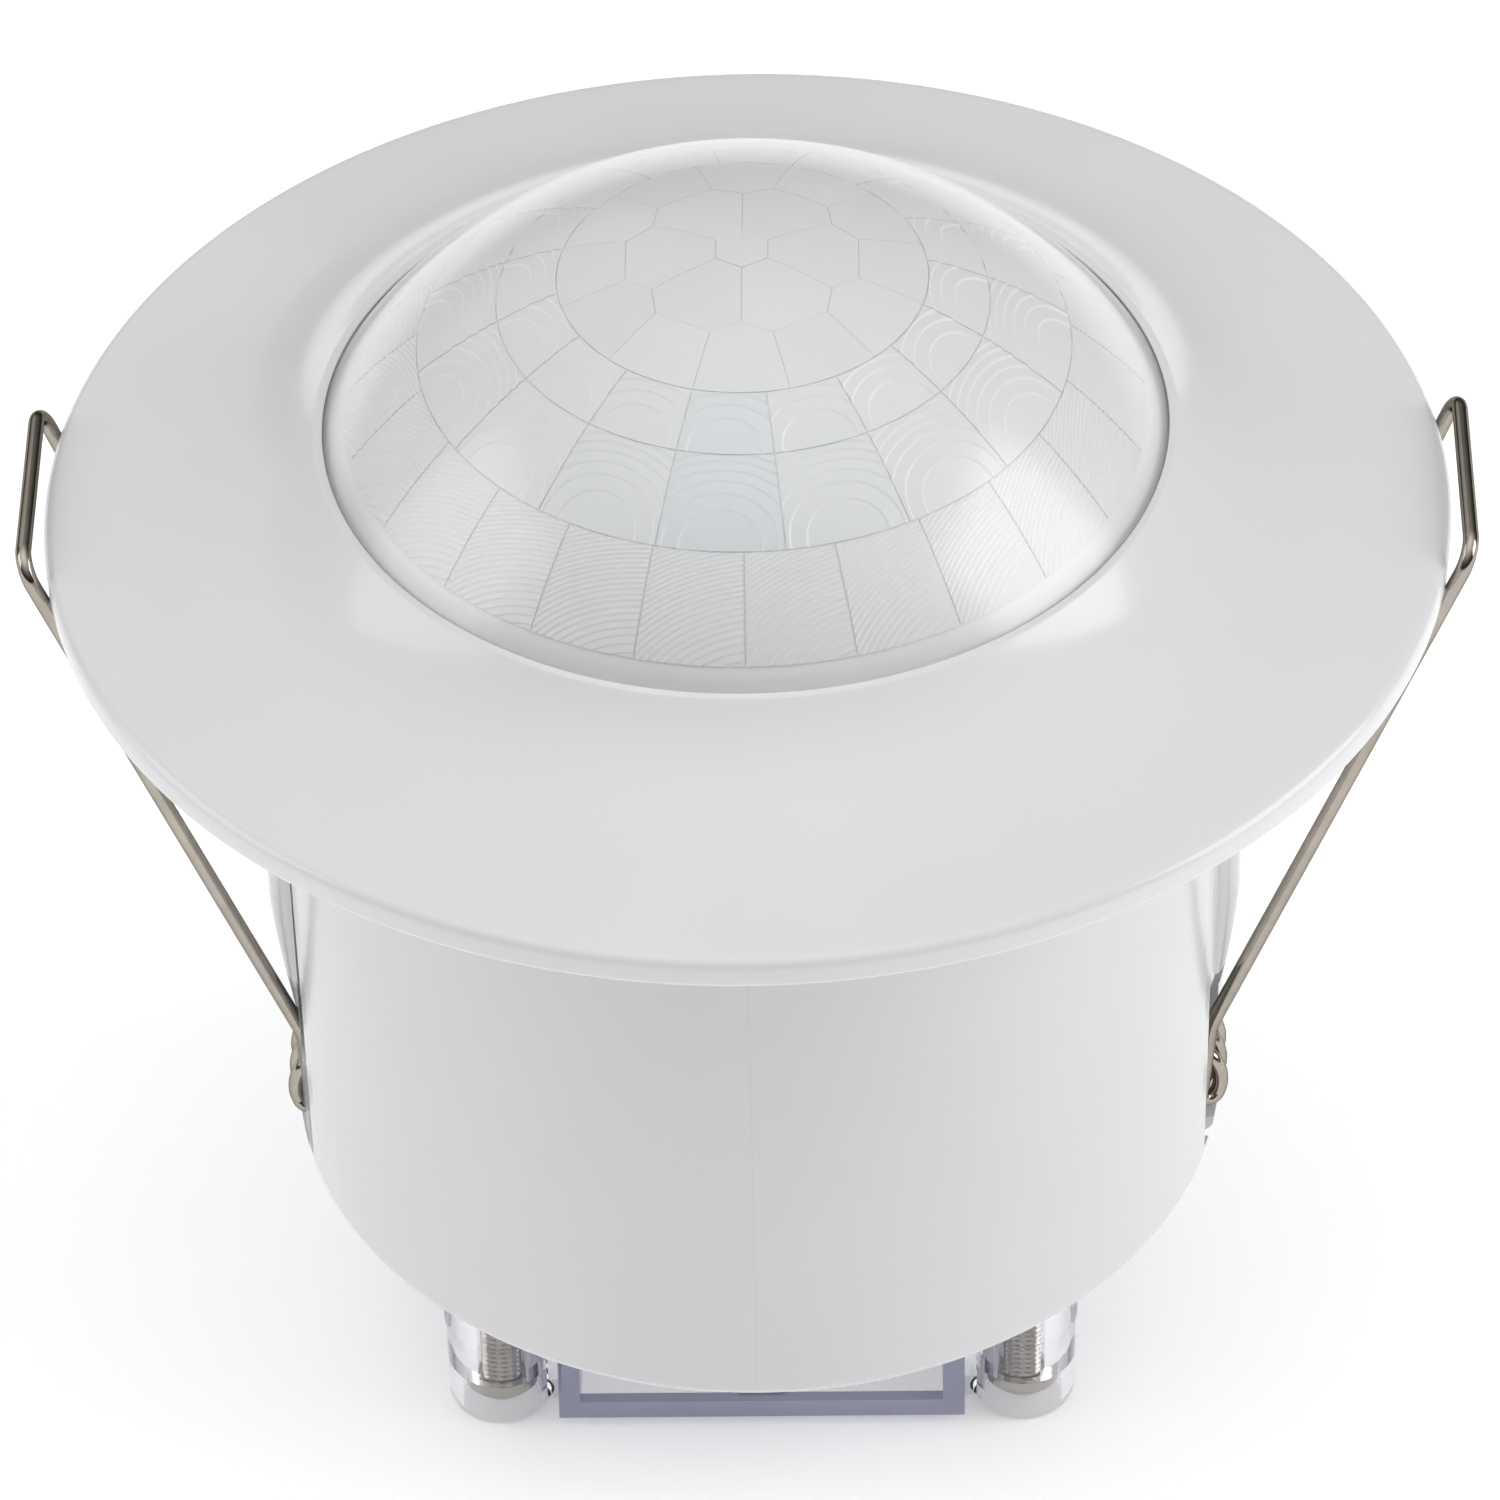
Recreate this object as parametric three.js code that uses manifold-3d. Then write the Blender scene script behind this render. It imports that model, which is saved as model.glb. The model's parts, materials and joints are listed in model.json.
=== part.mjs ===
// Recessed 360-degree ceiling motion detector, stood lens-up on its terminal cover.
// Millimetres, +Z up. Heights below are from the plate of the terminal cover; the finished
// group is raised so that its origin is on the surface that its screw posts stand on.
// The two spring clips open along X; the cable window of the terminal cover faces -Y.
import * as THREE from 'three';
import { mergeVertices } from 'three/addons/utils/BufferGeometryUtils.js';
import Module from 'manifold-3d';

const wasm = await Module();
wasm.setup();

// ---- driving dimensions ----
const GAP = 0.3;                 // clearance between touching pieces
const RING = 56;                 // facets round the large turned pieces
const SMALL = 20;                // facets round small turned pieces

const FLANGE_R = 52.5;           // outer radius of the bezel
const FLANGE_TOP_Z = 77;         // height of the flange's edge
const FLANGE_EDGE = 2.3;         // thickness of the flange at its edge
const LIP_R = 32;                // crest of the lip round the lens
const LIP_RISE = 7.1;            // crest above the flange's edge
const LIP_GAP = 0.4;             // between the lip and the lens
const SKIRT_Z = 70;              // foot of the bezel's skirt, inside the housing

const CAN_R = 36.2;              // housing radius at its rear face
const CAN_DRAFT = 0.6;           // extra radius at the housing's front
const CAN_WALL = 2;
const CAN_Z0 = 17.7;             // rear face of the housing
const CAN_Z1 = 77.6;             // front edge of the housing
const BELOW = 10;                // cuts through the rear wall run from here to ABOVE
const ABOVE = 30;

const LENS_R = 37.9;             // outer radius of the lens sphere
const LENS_APEX_Z = 100.4;
const LENS_SKIN = 0.8;
const LENS_EDGE_R = 32.8;        // radius at the foot of the dome
const LENS_BASE_Z = 80.4;
const LENS_RIM = 2.2;            // width of the lens's flat rim
const RETAINER_R = 28;           // inner radius of the ring under the lens
const RETAINER_Z = 78.9;

const AXIS_X = 32.8;              // spring coil axis, parallel to Y
const AXIS_Z = 23.4;
const WIRE_R = 0.6;
const COIL_R = 3.2;              // mean radius of a coil
const COIL_TURNS = 2.25;
const COIL_PITCH = 2.4;
const COIL_Y = 7.2;              // outer end of a coil
const COIL_END = -22;            // degrees round the coil where the hook starts
const HOOK_R = 0.7;              // bend from a coil into its arm
const FOOT_Y = 7.9;              // arm where it meets its coil
const TIP_Y = 9.4;               // arm at the cross bar
const SHOULDER_X = 2.3;          // arm's outward bend, from the coil axis
const SHOULDER_Z = 6.2;
const ARM_X = 20.7;              // middle of the cross bar, from the coil axis
const ARM_Z = 54.8;
const ARM_BEND = 2;              // bend from an arm into the cross bar
const PIN_R = 2;
const PIN_Y = 6.8;               // half length of a coil's pin

const POCKET_X = 28.7;           // floor of the spring pocket
const POCKET_Y = 10.4;           // half width of the pocket
const POCKET_Z0 = 19.2;
const POCKET_Z1 = 30;
const POCKET_WALL = 1.6;
const ARM_SLOT_Z = 36;           // top of the slots that the arms swing in
const ARM_SLOT_Y = 9.1;          // outer side of a slot below the pocket
const SADDLE_X = 35.6;           // outer end of the wall that carries a pin
const SADDLE_Z = 27.6;
const GUARD_ROOT_X = 35.3;       // inner face of the guard, inside the housing's wall
const GUARD_X = 37.2;            // outer face of the guard above a pocket
const GUARD_Y = 6.7;
const GUARD_Z0 = 33.4;
const GUARD_Z1 = 76.4;

const COVER_X = 15.9;            // terminal cover, half width
const COVER_FRONT = -20.4;
const COVER_REAR = 14;
const COVER_WALL = 1.7;
const COVER_FLOOR = 2.2;
const BAR_Z = 1.7;               // top of the bar across the cover's front
const BAR_DEPTH = 1;
const ENTRY_REAR = -9.5;         // rear edge of the cable entry through the cover's plate
const POST_X = 20.5;             // screw posts of the terminal cover
const POST_Y = -16.1;
const POST_R = 4.3;
const POST_BORE = 1.9;           // screw clearance in the posts and the housing
const POST_DROP = 1;             // posts and feet stand below the cover's plate
const BOSS_R = 3.4;              // housing bosses that the cover's screws bite into

const POWER_Z = 24;              // underside of the power board
const SENSOR_Z = 66;             // underside of the sensor board
const BOARD = 1.6;               // board thickness
const SENSOR_BOARD_R = 30.5;
const SPACER_REACH = 23.5;       // spacers, from the middle
const KNOB_X = 8;                // setting knobs on the rear face
const KNOB_Y = 24.5;
const WINDOW_X = 13.4;           // housing window that the terminal block shows through
const WINDOW_Y = 8.6;

const TAU = 2 * Math.PI;

// ---- geometry helpers ----

// A turned piece from [radius, height] points, standing along Z.
function turned(points, facets = SMALL) {
  const outline = points.map(([r, z]) => new THREE.Vector2(r, z));
  return new THREE.LatheGeometry(outline, facets).rotateX(Math.PI / 2);
}

// A ring, turned from an outline that closes on itself.
function ring(points, facets = RING) {
  return turned([...points, points[0]], facets);
}

function rod(radius, z0, z1, facets = SMALL) {
  return turned([[0, z0], [radius, z0], [radius, z1], [0, z1]], facets);
}

// A box between two corners.
function block([x0, y0, z0], [x1, y1, z1]) {
  const box = new THREE.BoxGeometry(x1 - x0, y1 - y0, z1 - z0);
  return box.translate((x0 + x1) / 2, (y0 + y1) / 2, (z0 + z1) / 2);
}

// A rectangle with round corners, centred on the origin.
function roundedRectangle(width, depth, radius) {
  const x = width / 2 - radius;
  const y = depth / 2 - radius;
  const shape = new THREE.Shape();
  shape.absarc(x, y, radius, 0, TAU / 4);
  shape.absarc(-x, y, radius, TAU / 4, TAU / 2);
  shape.absarc(-x, -y, radius, TAU / 2, 3 * TAU / 4);
  shape.absarc(x, -y, radius, 3 * TAU / 4, TAU);
  shape.closePath();
  return shape;
}

function slab(shape, z0, z1, curveSegments = 3) {
  const options = { depth: z1 - z0, bevelEnabled: false, curveSegments };
  return new THREE.ExtrudeGeometry(shape, options).translate(0, 0, z0);
}

// ---- joins and cuts ----

function toSolid(geometry) {
  const bare = geometry.clone();
  bare.deleteAttribute('normal');
  bare.deleteAttribute('uv');
  const merged = mergeVertices(bare, 1e-4);
  const corners = [];
  for (let i = 0; i < merged.index.count; i += 3) {
    const [a, b, c] = [0, 1, 2].map((k) => merged.index.getX(i + k));
    if (a !== b && b !== c && c !== a) corners.push(a, b, c);
  }
  const mesh = new wasm.Mesh({
    numProp: 3,
    vertProperties: new Float32Array(merged.attributes.position.array),
    triVerts: new Uint32Array(corners),
  });
  return new wasm.Manifold(mesh);
}

function toGeometry(solid) {
  const mesh = solid.getMesh();
  const geometry = new THREE.BufferGeometry();
  geometry.setAttribute('position', new THREE.BufferAttribute(mesh.vertProperties, 3));
  geometry.setIndex(new THREE.BufferAttribute(mesh.triVerts, 1));
  const faceted = geometry.toNonIndexed();
  faceted.computeVertexNormals();
  return faceted;
}

function joined(first, ...others) {
  return others.reduce((sum, geometry) => sum.add(toSolid(geometry)), toSolid(first));
}

function cut(solid, ...tools) {
  return tools.reduce((rest, geometry) => rest.subtract(toSolid(geometry)), solid);
}

// ---- finishes ----

const finish = {
  whitePlastic: () => plastic(0xe6e6e8, 0.22),
  milkyPlastic: () => plastic(0xe2e4e4, 0.3),
  clearPlastic: () => plastic(0xcfd0e6, 0.08),
  greyPlastic: () => plastic(0x9a9da1, 0.5),
  blackPlastic: () => plastic(0x1c1d20, 0.45),
  bluePlastic: () => plastic(0x2c5aa8, 0.4),
  greenBoard: () => plastic(0x1f6b3c, 0.4),
  darkGlass: () => plastic(0x17181f, 0.1),
  nickel: () => metal(0xb9b1a6, 0.28),
  steel: () => metal(0xa8a49e, 0.3),
  brass: () => metal(0xc2a25a, 0.35),
};

function plastic(color, roughness) {
  return new THREE.MeshStandardMaterial({ color, roughness, metalness: 0 });
}

function metal(color, roughness) {
  return new THREE.MeshStandardMaterial({ color, roughness, metalness: 1 });
}

const detector = new THREE.Group();

function addPart(name, geometry, material, parent = detector) {
  const mesh = new THREE.Mesh(geometry, material);
  mesh.name = name;
  parent.add(mesh);
  return mesh;
}

// ---- bezel, lens and retainer ----

// Height of the bezel's top face: a low slope from the edge, then a fillet up to the lip.
function crown(radius) {
  const inward = (FLANGE_R - radius) / (FLANGE_R - LIP_R);
  return FLANGE_TOP_Z + LIP_RISE * (0.42 * inward + 0.58 * inward ** 4);
}

const lensCentreZ = LENS_APEX_Z - LENS_R;

function domeRadius(sphere, z) {
  return Math.sqrt(sphere ** 2 - (z - lensCentreZ) ** 2);
}

function buildBezel() {
  const footZ = FLANGE_TOP_Z - FLANGE_EDGE;
  const skirtR = CAN_R - CAN_WALL + CAN_DRAFT - GAP;
  const seatZ = LENS_BASE_Z + 1.4;
  const skirtInner = LENS_EDGE_R + GAP;
  const crownRadii = [51.2, 48.5, 45, 41.5, 38.5, 36.2, 34.4, 33, LIP_R + 0.3];
  const top = crownRadii.map((r) => [r, crown(r)]);
  addPart('bezel', ring([
    [skirtInner, SKIRT_Z],
    [skirtR, SKIRT_Z],
    [skirtR, CAN_Z1 + GAP],
    [38, CAN_Z1 + GAP],
    [49.9, footZ + 0.9],
    [50.2, footZ],
    [FLANGE_R - 0.5, footZ],
    [FLANGE_R, footZ + 0.7],
    [FLANGE_R, footZ + 1.5],
    [FLANGE_R - 0.4, FLANGE_TOP_Z - 0.1],
    ...top,
    [LIP_R, FLANGE_TOP_Z + LIP_RISE],
    [LIP_R - 0.25, FLANGE_TOP_Z + LIP_RISE - 0.2],
    [domeRadius(LENS_R, seatZ + 0.7) + LIP_GAP, seatZ + 0.7],
    [skirtInner, seatZ],
  ]), finish.whitePlastic());
}

function buildLens() {
  const innerR = LENS_R - LENS_SKIN;
  const steps = 9;
  const footZ = LENS_BASE_Z + 1.2;
  const edge = Math.asin(domeRadius(LENS_R, footZ) / LENS_R);
  const arc = (sphere, from, to) => Array.from({ length: steps + 1 }, (_, i) => {
    const tilt = from + (to - from) * i / steps;
    return [sphere * Math.sin(tilt), lensCentreZ + sphere * Math.cos(tilt)];
  });
  const outside = arc(LENS_R, edge, 0);
  const inside = arc(innerR, 0, edge - 0.03);
  addPart('fresnel_lens', turned([
    ...inside,
    [LENS_EDGE_R - LENS_RIM, LENS_BASE_Z],
    [LENS_EDGE_R, LENS_BASE_Z],
    ...outside,
  ], RING), finish.milkyPlastic());
  addPart('lens_retainer', ring([
    [RETAINER_R, RETAINER_Z],
    [LENS_EDGE_R, RETAINER_Z],
    [LENS_EDGE_R, LENS_BASE_Z - GAP],
    [RETAINER_R, LENS_BASE_Z - GAP],
  ], 48), finish.whitePlastic());
}

// ---- housing ----

// The guard that stands over a spring pocket, in the XZ plane, drawn along Y.
function guard(side) {
  const shape = new THREE.Shape();
  shape.moveTo(GUARD_ROOT_X, GUARD_Z0);
  shape.lineTo(GUARD_ROOT_X + 0.5, GUARD_Z0);
  shape.quadraticCurveTo(GUARD_X - 0.4, GUARD_Z0 + 4, GUARD_X, GUARD_Z0 + 9.5);
  shape.lineTo(GUARD_X, GUARD_Z1);
  shape.lineTo(GUARD_ROOT_X, GUARD_Z1);
  shape.closePath();
  const solid = slab(shape, -GUARD_Y, GUARD_Y, 5).rotateX(Math.PI / 2);
  return side > 0 ? solid : solid.rotateZ(Math.PI);
}

// A box given for the +X side, or its half turn for the -X side.
function sideBlock(side, low, high) {
  const box = block(low, high);
  return side > 0 ? box : box.rotateZ(Math.PI);
}

// The housing's hollow body, before its pockets and bosses.
function hollowCan() {
  const front = CAN_R + CAN_DRAFT;
  const body = turned([
    [0, CAN_Z0], [CAN_R - 1.2, CAN_Z0], [CAN_R - 0.4, CAN_Z0 + 0.4], [CAN_R, CAN_Z0 + 1.2],
    [front, CAN_Z1], [0, CAN_Z1],
  ], RING);
  const cavity = turned([
    [0, CAN_Z0 + 2.2], [CAN_R - CAN_WALL, CAN_Z0 + 2.2],
    [front - CAN_WALL, CAN_Z1 + 1], [0, CAN_Z1 + 1],
  ], RING);
  return { outer: toSolid(body), hollowed: toSolid(body).subtract(toSolid(cavity)) };
}

// A spring pocket on one side: its walls, its guard, the slots its arms swing in, and the
// low wall between the coils that carries the pin.
function withPocket(housing, outer, side) {
  const beyond = CAN_R + 9;
  const slotY = FOOT_Y - WIRE_R - GAP;
  const walls = toSolid(sideBlock(
    side,
    [POCKET_X - POCKET_WALL, -POCKET_Y - POCKET_WALL, CAN_Z0 + 0.1],
    [beyond, POCKET_Y + POCKET_WALL, ARM_SLOT_Z + POCKET_WALL],
  )).intersect(outer);
  const open = cut(
    housing.add(walls).add(toSolid(guard(side))),
    sideBlock(side, [POCKET_X, -POCKET_Y, POCKET_Z0], [beyond, POCKET_Y, POCKET_Z1]),
    sideBlock(side, [POCKET_X, -POCKET_Y, POCKET_Z1 - 1], [beyond, -slotY, ARM_SLOT_Z]),
    sideBlock(side, [POCKET_X, slotY, POCKET_Z1 - 1], [beyond, POCKET_Y, ARM_SLOT_Z]),
    sideBlock(side, [POCKET_X, -ARM_SLOT_Y, BELOW], [beyond, -slotY, POCKET_Z0 + 1]),
    sideBlock(side, [POCKET_X, slotY, BELOW], [beyond, ARM_SLOT_Y, POCKET_Z0 + 1]),
  );
  const saddle = sideBlock(
    side, [POCKET_X - 0.5, -1, POCKET_Z0 - 0.5], [SADDLE_X, 1, SADDLE_Z],
  );
  const pinHole = rod(PIN_R + GAP, -PIN_Y - 2, PIN_Y + 2).rotateX(Math.PI / 2)
    .translate(side * AXIS_X, 0, AXIS_Z);
  return cut(open.add(toSolid(saddle)), pinHole);
}

function buildHousing() {
  const { outer, hollowed } = hollowCan();
  let housing = hollowed;
  for (const x of [-POST_X, POST_X]) {
    housing = housing.add(toSolid(rod(BOSS_R, CAN_Z0 + 1, POWER_Z - GAP).translate(x, POST_Y, 0)));
  }
  for (const side of [-1, 1]) housing = withPocket(housing, outer, side);
  housing = cut(
    housing,
    block([-WINDOW_X, -WINDOW_Y, BELOW], [WINDOW_X, WINDOW_Y, ABOVE]),
    ...[-POST_X, POST_X].map((x) => rod(POST_BORE, BELOW, ABOVE).translate(x, POST_Y, 0)),
    ...[-KNOB_X, KNOB_X].map((x) => rod(3, BELOW, ABOVE).translate(x, KNOB_Y, 0)),
  );
  addPart('rear_housing', toGeometry(housing), finish.whitePlastic());
}

// ---- spring clips ----

// A run of straight wire between given points, which an extrusion follows point by point.
class WireRun extends THREE.Curve {
  constructor(points) {
    super();
    this.points = points;
  }

  getUtoTmapping(u) {
    return u;
  }

  getPoint(t) {
    const at = Math.min(Math.round(t * (this.points.length - 1)), this.points.length - 1);
    return this.points[at].clone();
  }

  getTangent(t) {
    const last = this.points.length - 1;
    const at = Math.round(t * last);
    const before = this.points[Math.max(at - 1, 0)];
    const after = this.points[Math.min(at + 1, last)];
    const here = this.points[at];
    const into = here.clone().sub(before).normalize();
    const out = after.clone().sub(here).normalize();
    return into.add(out).normalize();
  }
}

// Half of a clip's wire, from a coil's inner end to the middle of the cross bar.
// Coordinates are from the coil axis: x outwards, y along the axis, z up.
function halfClip() {
  const points = [];
  const radians = THREE.MathUtils.degToRad;
  const coilSteps = 28;
  for (let i = 0; i <= coilSteps; i += 1) {
    const turns = COIL_TURNS * (1 - i / coilSteps);
    const angle = radians(COIL_END) + turns * TAU;
    points.push([COIL_R * Math.cos(angle), -COIL_Y + COIL_PITCH * turns, COIL_R * Math.sin(angle)]);
  }
  const hookX = (COIL_R - HOOK_R) * Math.cos(radians(COIL_END));
  const hookZ = (COIL_R - HOOK_R) * Math.sin(radians(COIL_END));
  for (const degrees of [300, 260, 220, 180]) {
    const along = (360 + COIL_END - degrees) / (180 + COIL_END);
    points.push([
      hookX + HOOK_R * Math.cos(radians(degrees)),
      -COIL_Y - (FOOT_Y - COIL_Y) * along,
      hookZ + HOOK_R * Math.sin(radians(degrees)),
    ]);
  }
  points.push(
    [SHOULDER_X, -FOOT_Y - 0.15, SHOULDER_Z],
    [SHOULDER_X + 0.2, -FOOT_Y - 0.2, SHOULDER_Z + 1.1],
  );
  const lean = new THREE.Vector2(ARM_X - SHOULDER_X, ARM_Z - SHOULDER_Z).normalize();
  for (const degrees of [0, 30, 60, 90]) {
    const rise = ARM_BEND * (1 - Math.sin(radians(degrees)));
    points.push([
      ARM_X - rise * lean.x,
      -TIP_Y + ARM_BEND * (1 - Math.cos(radians(degrees))),
      ARM_Z - rise * lean.y,
    ]);
  }
  return points;
}

function buildClip(name, side) {
  const half = halfClip();
  const mirrored = half.map(([x, y, z]) => [x, -y, z]).reverse();
  const points = [...half, ...mirrored].map((p) => new THREE.Vector3(...p));
  const section = new THREE.Shape();
  section.absarc(0, 0, WIRE_R, 0, TAU);
  const wire = new THREE.ExtrudeGeometry(section, {
    extrudePath: new WireRun(points), steps: points.length - 1, curveSegments: 4,
  });
  const axis = new THREE.Group();
  axis.position.set(side * AXIS_X, 0, AXIS_Z);
  axis.rotation.z = side > 0 ? 0 : Math.PI;
  detector.add(axis);
  addPart(name, wire, finish.nickel(), axis);
  addPart(`${name}_pin`, rod(PIN_R, -PIN_Y, PIN_Y, 16).rotateX(Math.PI / 2), finish.steel(), axis);
}

// ---- terminal cover and its screws ----

function buildTerminalCover() {
  const top = CAN_Z0 - GAP;
  const inner = COVER_X - COVER_WALL;
  const post = (x) => turned([
    [0, -POST_DROP], [POST_R - 0.55, -POST_DROP], [POST_R - 0.25, 0.3 - POST_DROP],
    [POST_R - 0.15, 1 - POST_DROP], [POST_R - 0.15, 7.4], [POST_R, 7.5], [POST_R, top], [0, top],
  ], 28).translate(x, POST_Y, 0);
  const foot = (x) => rod(2.6, -POST_DROP, 1).translate(x, COVER_REAR - 3, 0);
  const web = (side) => sideBlock(side, [COVER_X - 1, -2, 0], [POST_X - 1, 2, top])
    .translate(0, POST_Y, 0);
  let cover = joined(
    block([-COVER_X, COVER_FRONT, 0], [COVER_X, COVER_REAR, top]),
    web(1), web(-1), post(POST_X), post(-POST_X), foot(11), foot(-11),
  );
  cover = cut(
    cover,
    block([-inner, COVER_FRONT - 5, COVER_FLOOR], [inner, COVER_REAR - COVER_WALL, top + 5]),
    block([-inner, COVER_FRONT - 5, BAR_Z], [inner, ENTRY_REAR, COVER_FLOOR + 1]),
    block([-inner, COVER_FRONT + BAR_DEPTH, -5], [inner, ENTRY_REAR, BAR_Z + 1]),
  );
  for (const x of [-POST_X, POST_X]) {
    cover = cut(
      cover,
      rod(3.1, -2, 2.7).translate(x, POST_Y, 0),
      rod(POST_BORE, 2, top + 1).translate(x, POST_Y, 0),
    );
  }
  addPart('terminal_cover', toGeometry(cover), finish.clearPlastic());
}

// A pan-head screw, head down, with a cross recess; its shank points up.
function screw(headR, headH, shankR, length) {
  const profile = [
    [0, 0], [headR * 0.55, 0], [headR * 0.9, headH * 0.35], [headR, headH],
    [shankR, headH], [shankR, length - shankR], [shankR * 0.3, length], [0, length],
  ];
  const slot = headR * 0.65;
  const blade = headR * 0.13;
  const depth = headH * 0.45;
  return toGeometry(cut(
    toSolid(turned(profile, 16)),
    block([-slot, -blade, -1], [slot, blade, depth]),
    block([-blade, -slot, -1], [blade, slot, depth]),
  ));
}

function buildCoverScrews() {
  for (const [name, x] of [['left_cover_screw', -POST_X], ['right_cover_screw', POST_X]]) {
    addPart(name, screw(2.8, 2.4, 1.6, 21), finish.steel()).position.set(x, POST_Y, 0);
  }
}

// ---- mains terminals ----

function buildTerminals() {
  const poleX = [-8, 0, 8];
  const bodyFront = -8;
  const body = block([-12.9, bodyFront, 5.2], [12.9, 8, POWER_Z - GAP]);
  const holes = poleX.flatMap((x) => [
    block([x - 2.6, bodyFront - 2, 9.4], [x + 2.6, 4.4, 15.2]),
    rod(2.3, 3, 11, 16).translate(x, 0, 0),
  ]);
  addPart('terminal_block', toGeometry(cut(toSolid(body), ...holes)), finish.greyPlastic());
  poleX.forEach((x, i) => {
    const clamp = cut(
      toSolid(block([x - 2.3, -3, 11.2], [x + 2.3, 4.1, 14.9])),
      block([x - 1.5, -5, 12.2], [x + 1.5, 6, 14.1]),
      rod(1.3, 10, 13, 12).translate(x, 0, 0),
    );
    addPart(`wire_clamp_${i + 1}`, toGeometry(clamp), finish.brass());
    addPart(`terminal_screw_${i + 1}`, screw(1.9, 1.6, 1, 6.2), finish.steel())
      .position.set(x, 0, 5.9);
  });
}

// ---- boards and what is on them ----

function boardWithHoles(shape, z, holes) {
  for (const [x, y, radius] of holes) {
    const hole = new THREE.Path();
    hole.absarc(x, y, radius, 0, TAU, true);
    shape.holes.push(hole);
  }
  return slab(shape, z, z + BOARD, 8);
}

// Places of the three spacers that carry the sensor board.
const spacerPlaces = [90, 215, 325].map((degrees) => {
  const angle = THREE.MathUtils.degToRad(degrees);
  return [SPACER_REACH * Math.cos(angle), SPACER_REACH * Math.sin(angle)];
});

function buildPowerBoard() {
  const halfWidth = POCKET_X - POCKET_WALL - 0.7;
  const radius = CAN_R - CAN_WALL - 0.8;
  const edge = Math.acos(halfWidth / radius);
  const outline = new THREE.Shape();
  outline.absarc(0, 0, radius, edge, TAU / 2 - edge);
  outline.absarc(0, 0, radius, TAU / 2 + edge, TAU - edge);
  outline.closePath();
  const board = boardWithHoles(outline, POWER_Z, [[-POST_X, POST_Y, 2], [POST_X, POST_Y, 2]]);
  addPart('power_board', board, finish.greenBoard());

  const deck = POWER_Z + BOARD + GAP;
  addPart('relay', slab(roundedRectangle(19, 15.4, 0.8), deck, deck + 15.5), finish.bluePlastic())
    .position.set(-12.5, 6, 0);
  addPart('suppression_capacitor', slab(roundedRectangle(18, 8.5, 0.6), deck, deck + 15),
    finish.greyPlastic()).position.set(-3, -9.5, 0);
  addPart('smoothing_capacitor', turned([
    [0, 0], [4.5, 0], [5, 0.6], [5, 15.4], [4.5, 16], [0, 16],
  ], 24), finish.blackPlastic()).position.set(9, 13, deck);
  addPart('varistor', turned([
    [0, -2], [4.4, -2], [5.2, -1.2], [5.2, 1.2], [4.4, 2], [0, 2],
  ], 24).rotateX(Math.PI / 2), finish.bluePlastic()).position.set(16, -6, deck + 5.4);
  addPart('fuse', turned([
    [0, 0], [3.9, 0], [4.2, 0.5], [4.2, 7.4], [3.9, 8], [0, 8],
  ], 20), finish.blackPlastic()).position.set(-11, -22.5, deck);
}

function buildSensorBoard() {
  const outline = new THREE.Shape();
  outline.absarc(0, 0, SENSOR_BOARD_R, 0, TAU);
  const holes = spacerPlaces.map(([x, y]) => [x, y, 1.6]);
  addPart('sensor_board', boardWithHoles(outline, SENSOR_Z, holes), finish.greenBoard());

  const riserTop = SENSOR_Z - GAP;
  addPart('riser_board', block(
    [4.5, 0.2, POWER_Z + BOARD + GAP], [24.5, 0.2 + BOARD, riserTop],
  ), finish.greenBoard());

  spacerPlaces.forEach(([x, y], i) => {
    addPart(`board_spacer_${i + 1}`, turned([
      [0, POWER_Z + BOARD + GAP], [2.6, POWER_Z + BOARD + GAP], [2.6, SENSOR_Z - GAP],
      [1.7, SENSOR_Z - GAP], [1.7, SENSOR_Z - 6], [0, SENSOR_Z - 6],
    ], 6).translate(x, y, 0), finish.brass());
    const flipped = screw(2.4, 1.6, 1.25, 7);
    addPart(`board_screw_${i + 1}`, flipped.rotateX(Math.PI), finish.steel())
      .position.set(x, y, SENSOR_Z + BOARD + GAP + 1.6);
  });
}

function buildDetectorElement() {
  const deck = SENSOR_Z + BOARD + GAP;
  const can = cut(
    toSolid(turned([
      [0, 0], [4.9, 0], [4.9, 0.6], [4.1, 0.6], [4.1, 4.0], [3.8, 4.3], [0, 4.3],
    ], 32)),
    block([-2.4, -1.9, 3.4], [2.4, 1.9, 6]),
  );
  addPart('pir_sensor', toGeometry(can), finish.nickel()).position.z = deck;
  addPart('pir_filter_window', block([-2.1, -1.6, 3.7], [2.1, 1.6, 4.2]), finish.darkGlass())
    .position.z = deck;
  addPart('light_sensor', turned([
    [0, 0], [2.5, 0], [2.5, 3.2], [1.8, 4.4], [0.8, 5], [0, 5.1],
  ], 20), finish.milkyPlastic()).position.set(0, -14, deck);
}

// ---- setting controls ----

function buildControls() {
  for (const [name, x] of [['time', -KNOB_X], ['lux', KNOB_X]]) {
    const cup = cut(
      toSolid(block([-4.8, -4.8, CAN_Z0 + 2.5], [4.8, 4.8, POWER_Z - GAP])),
      rod(2.9, CAN_Z0, CAN_Z0 + 3.6),
    );
    addPart(`${name}_pot`, toGeometry(cup), finish.bluePlastic()).position.set(x, KNOB_Y, 0);
    const knob = cut(
      toSolid(turned([
        [0, 13.4], [3.7, 13.4], [4.1, 13.9], [4.1, CAN_Z0 - 0.4],
        [2.6, CAN_Z0 - 0.4], [2.6, CAN_Z0 + 3.2], [0, CAN_Z0 + 3.2],
      ], 24)),
      block([-3, -0.6, 12], [3, 0.6, 15]),
    );
    addPart(`${name}_knob`, toGeometry(knob), finish.whitePlastic()).position.set(x, KNOB_Y, 0);
  }
}

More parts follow.
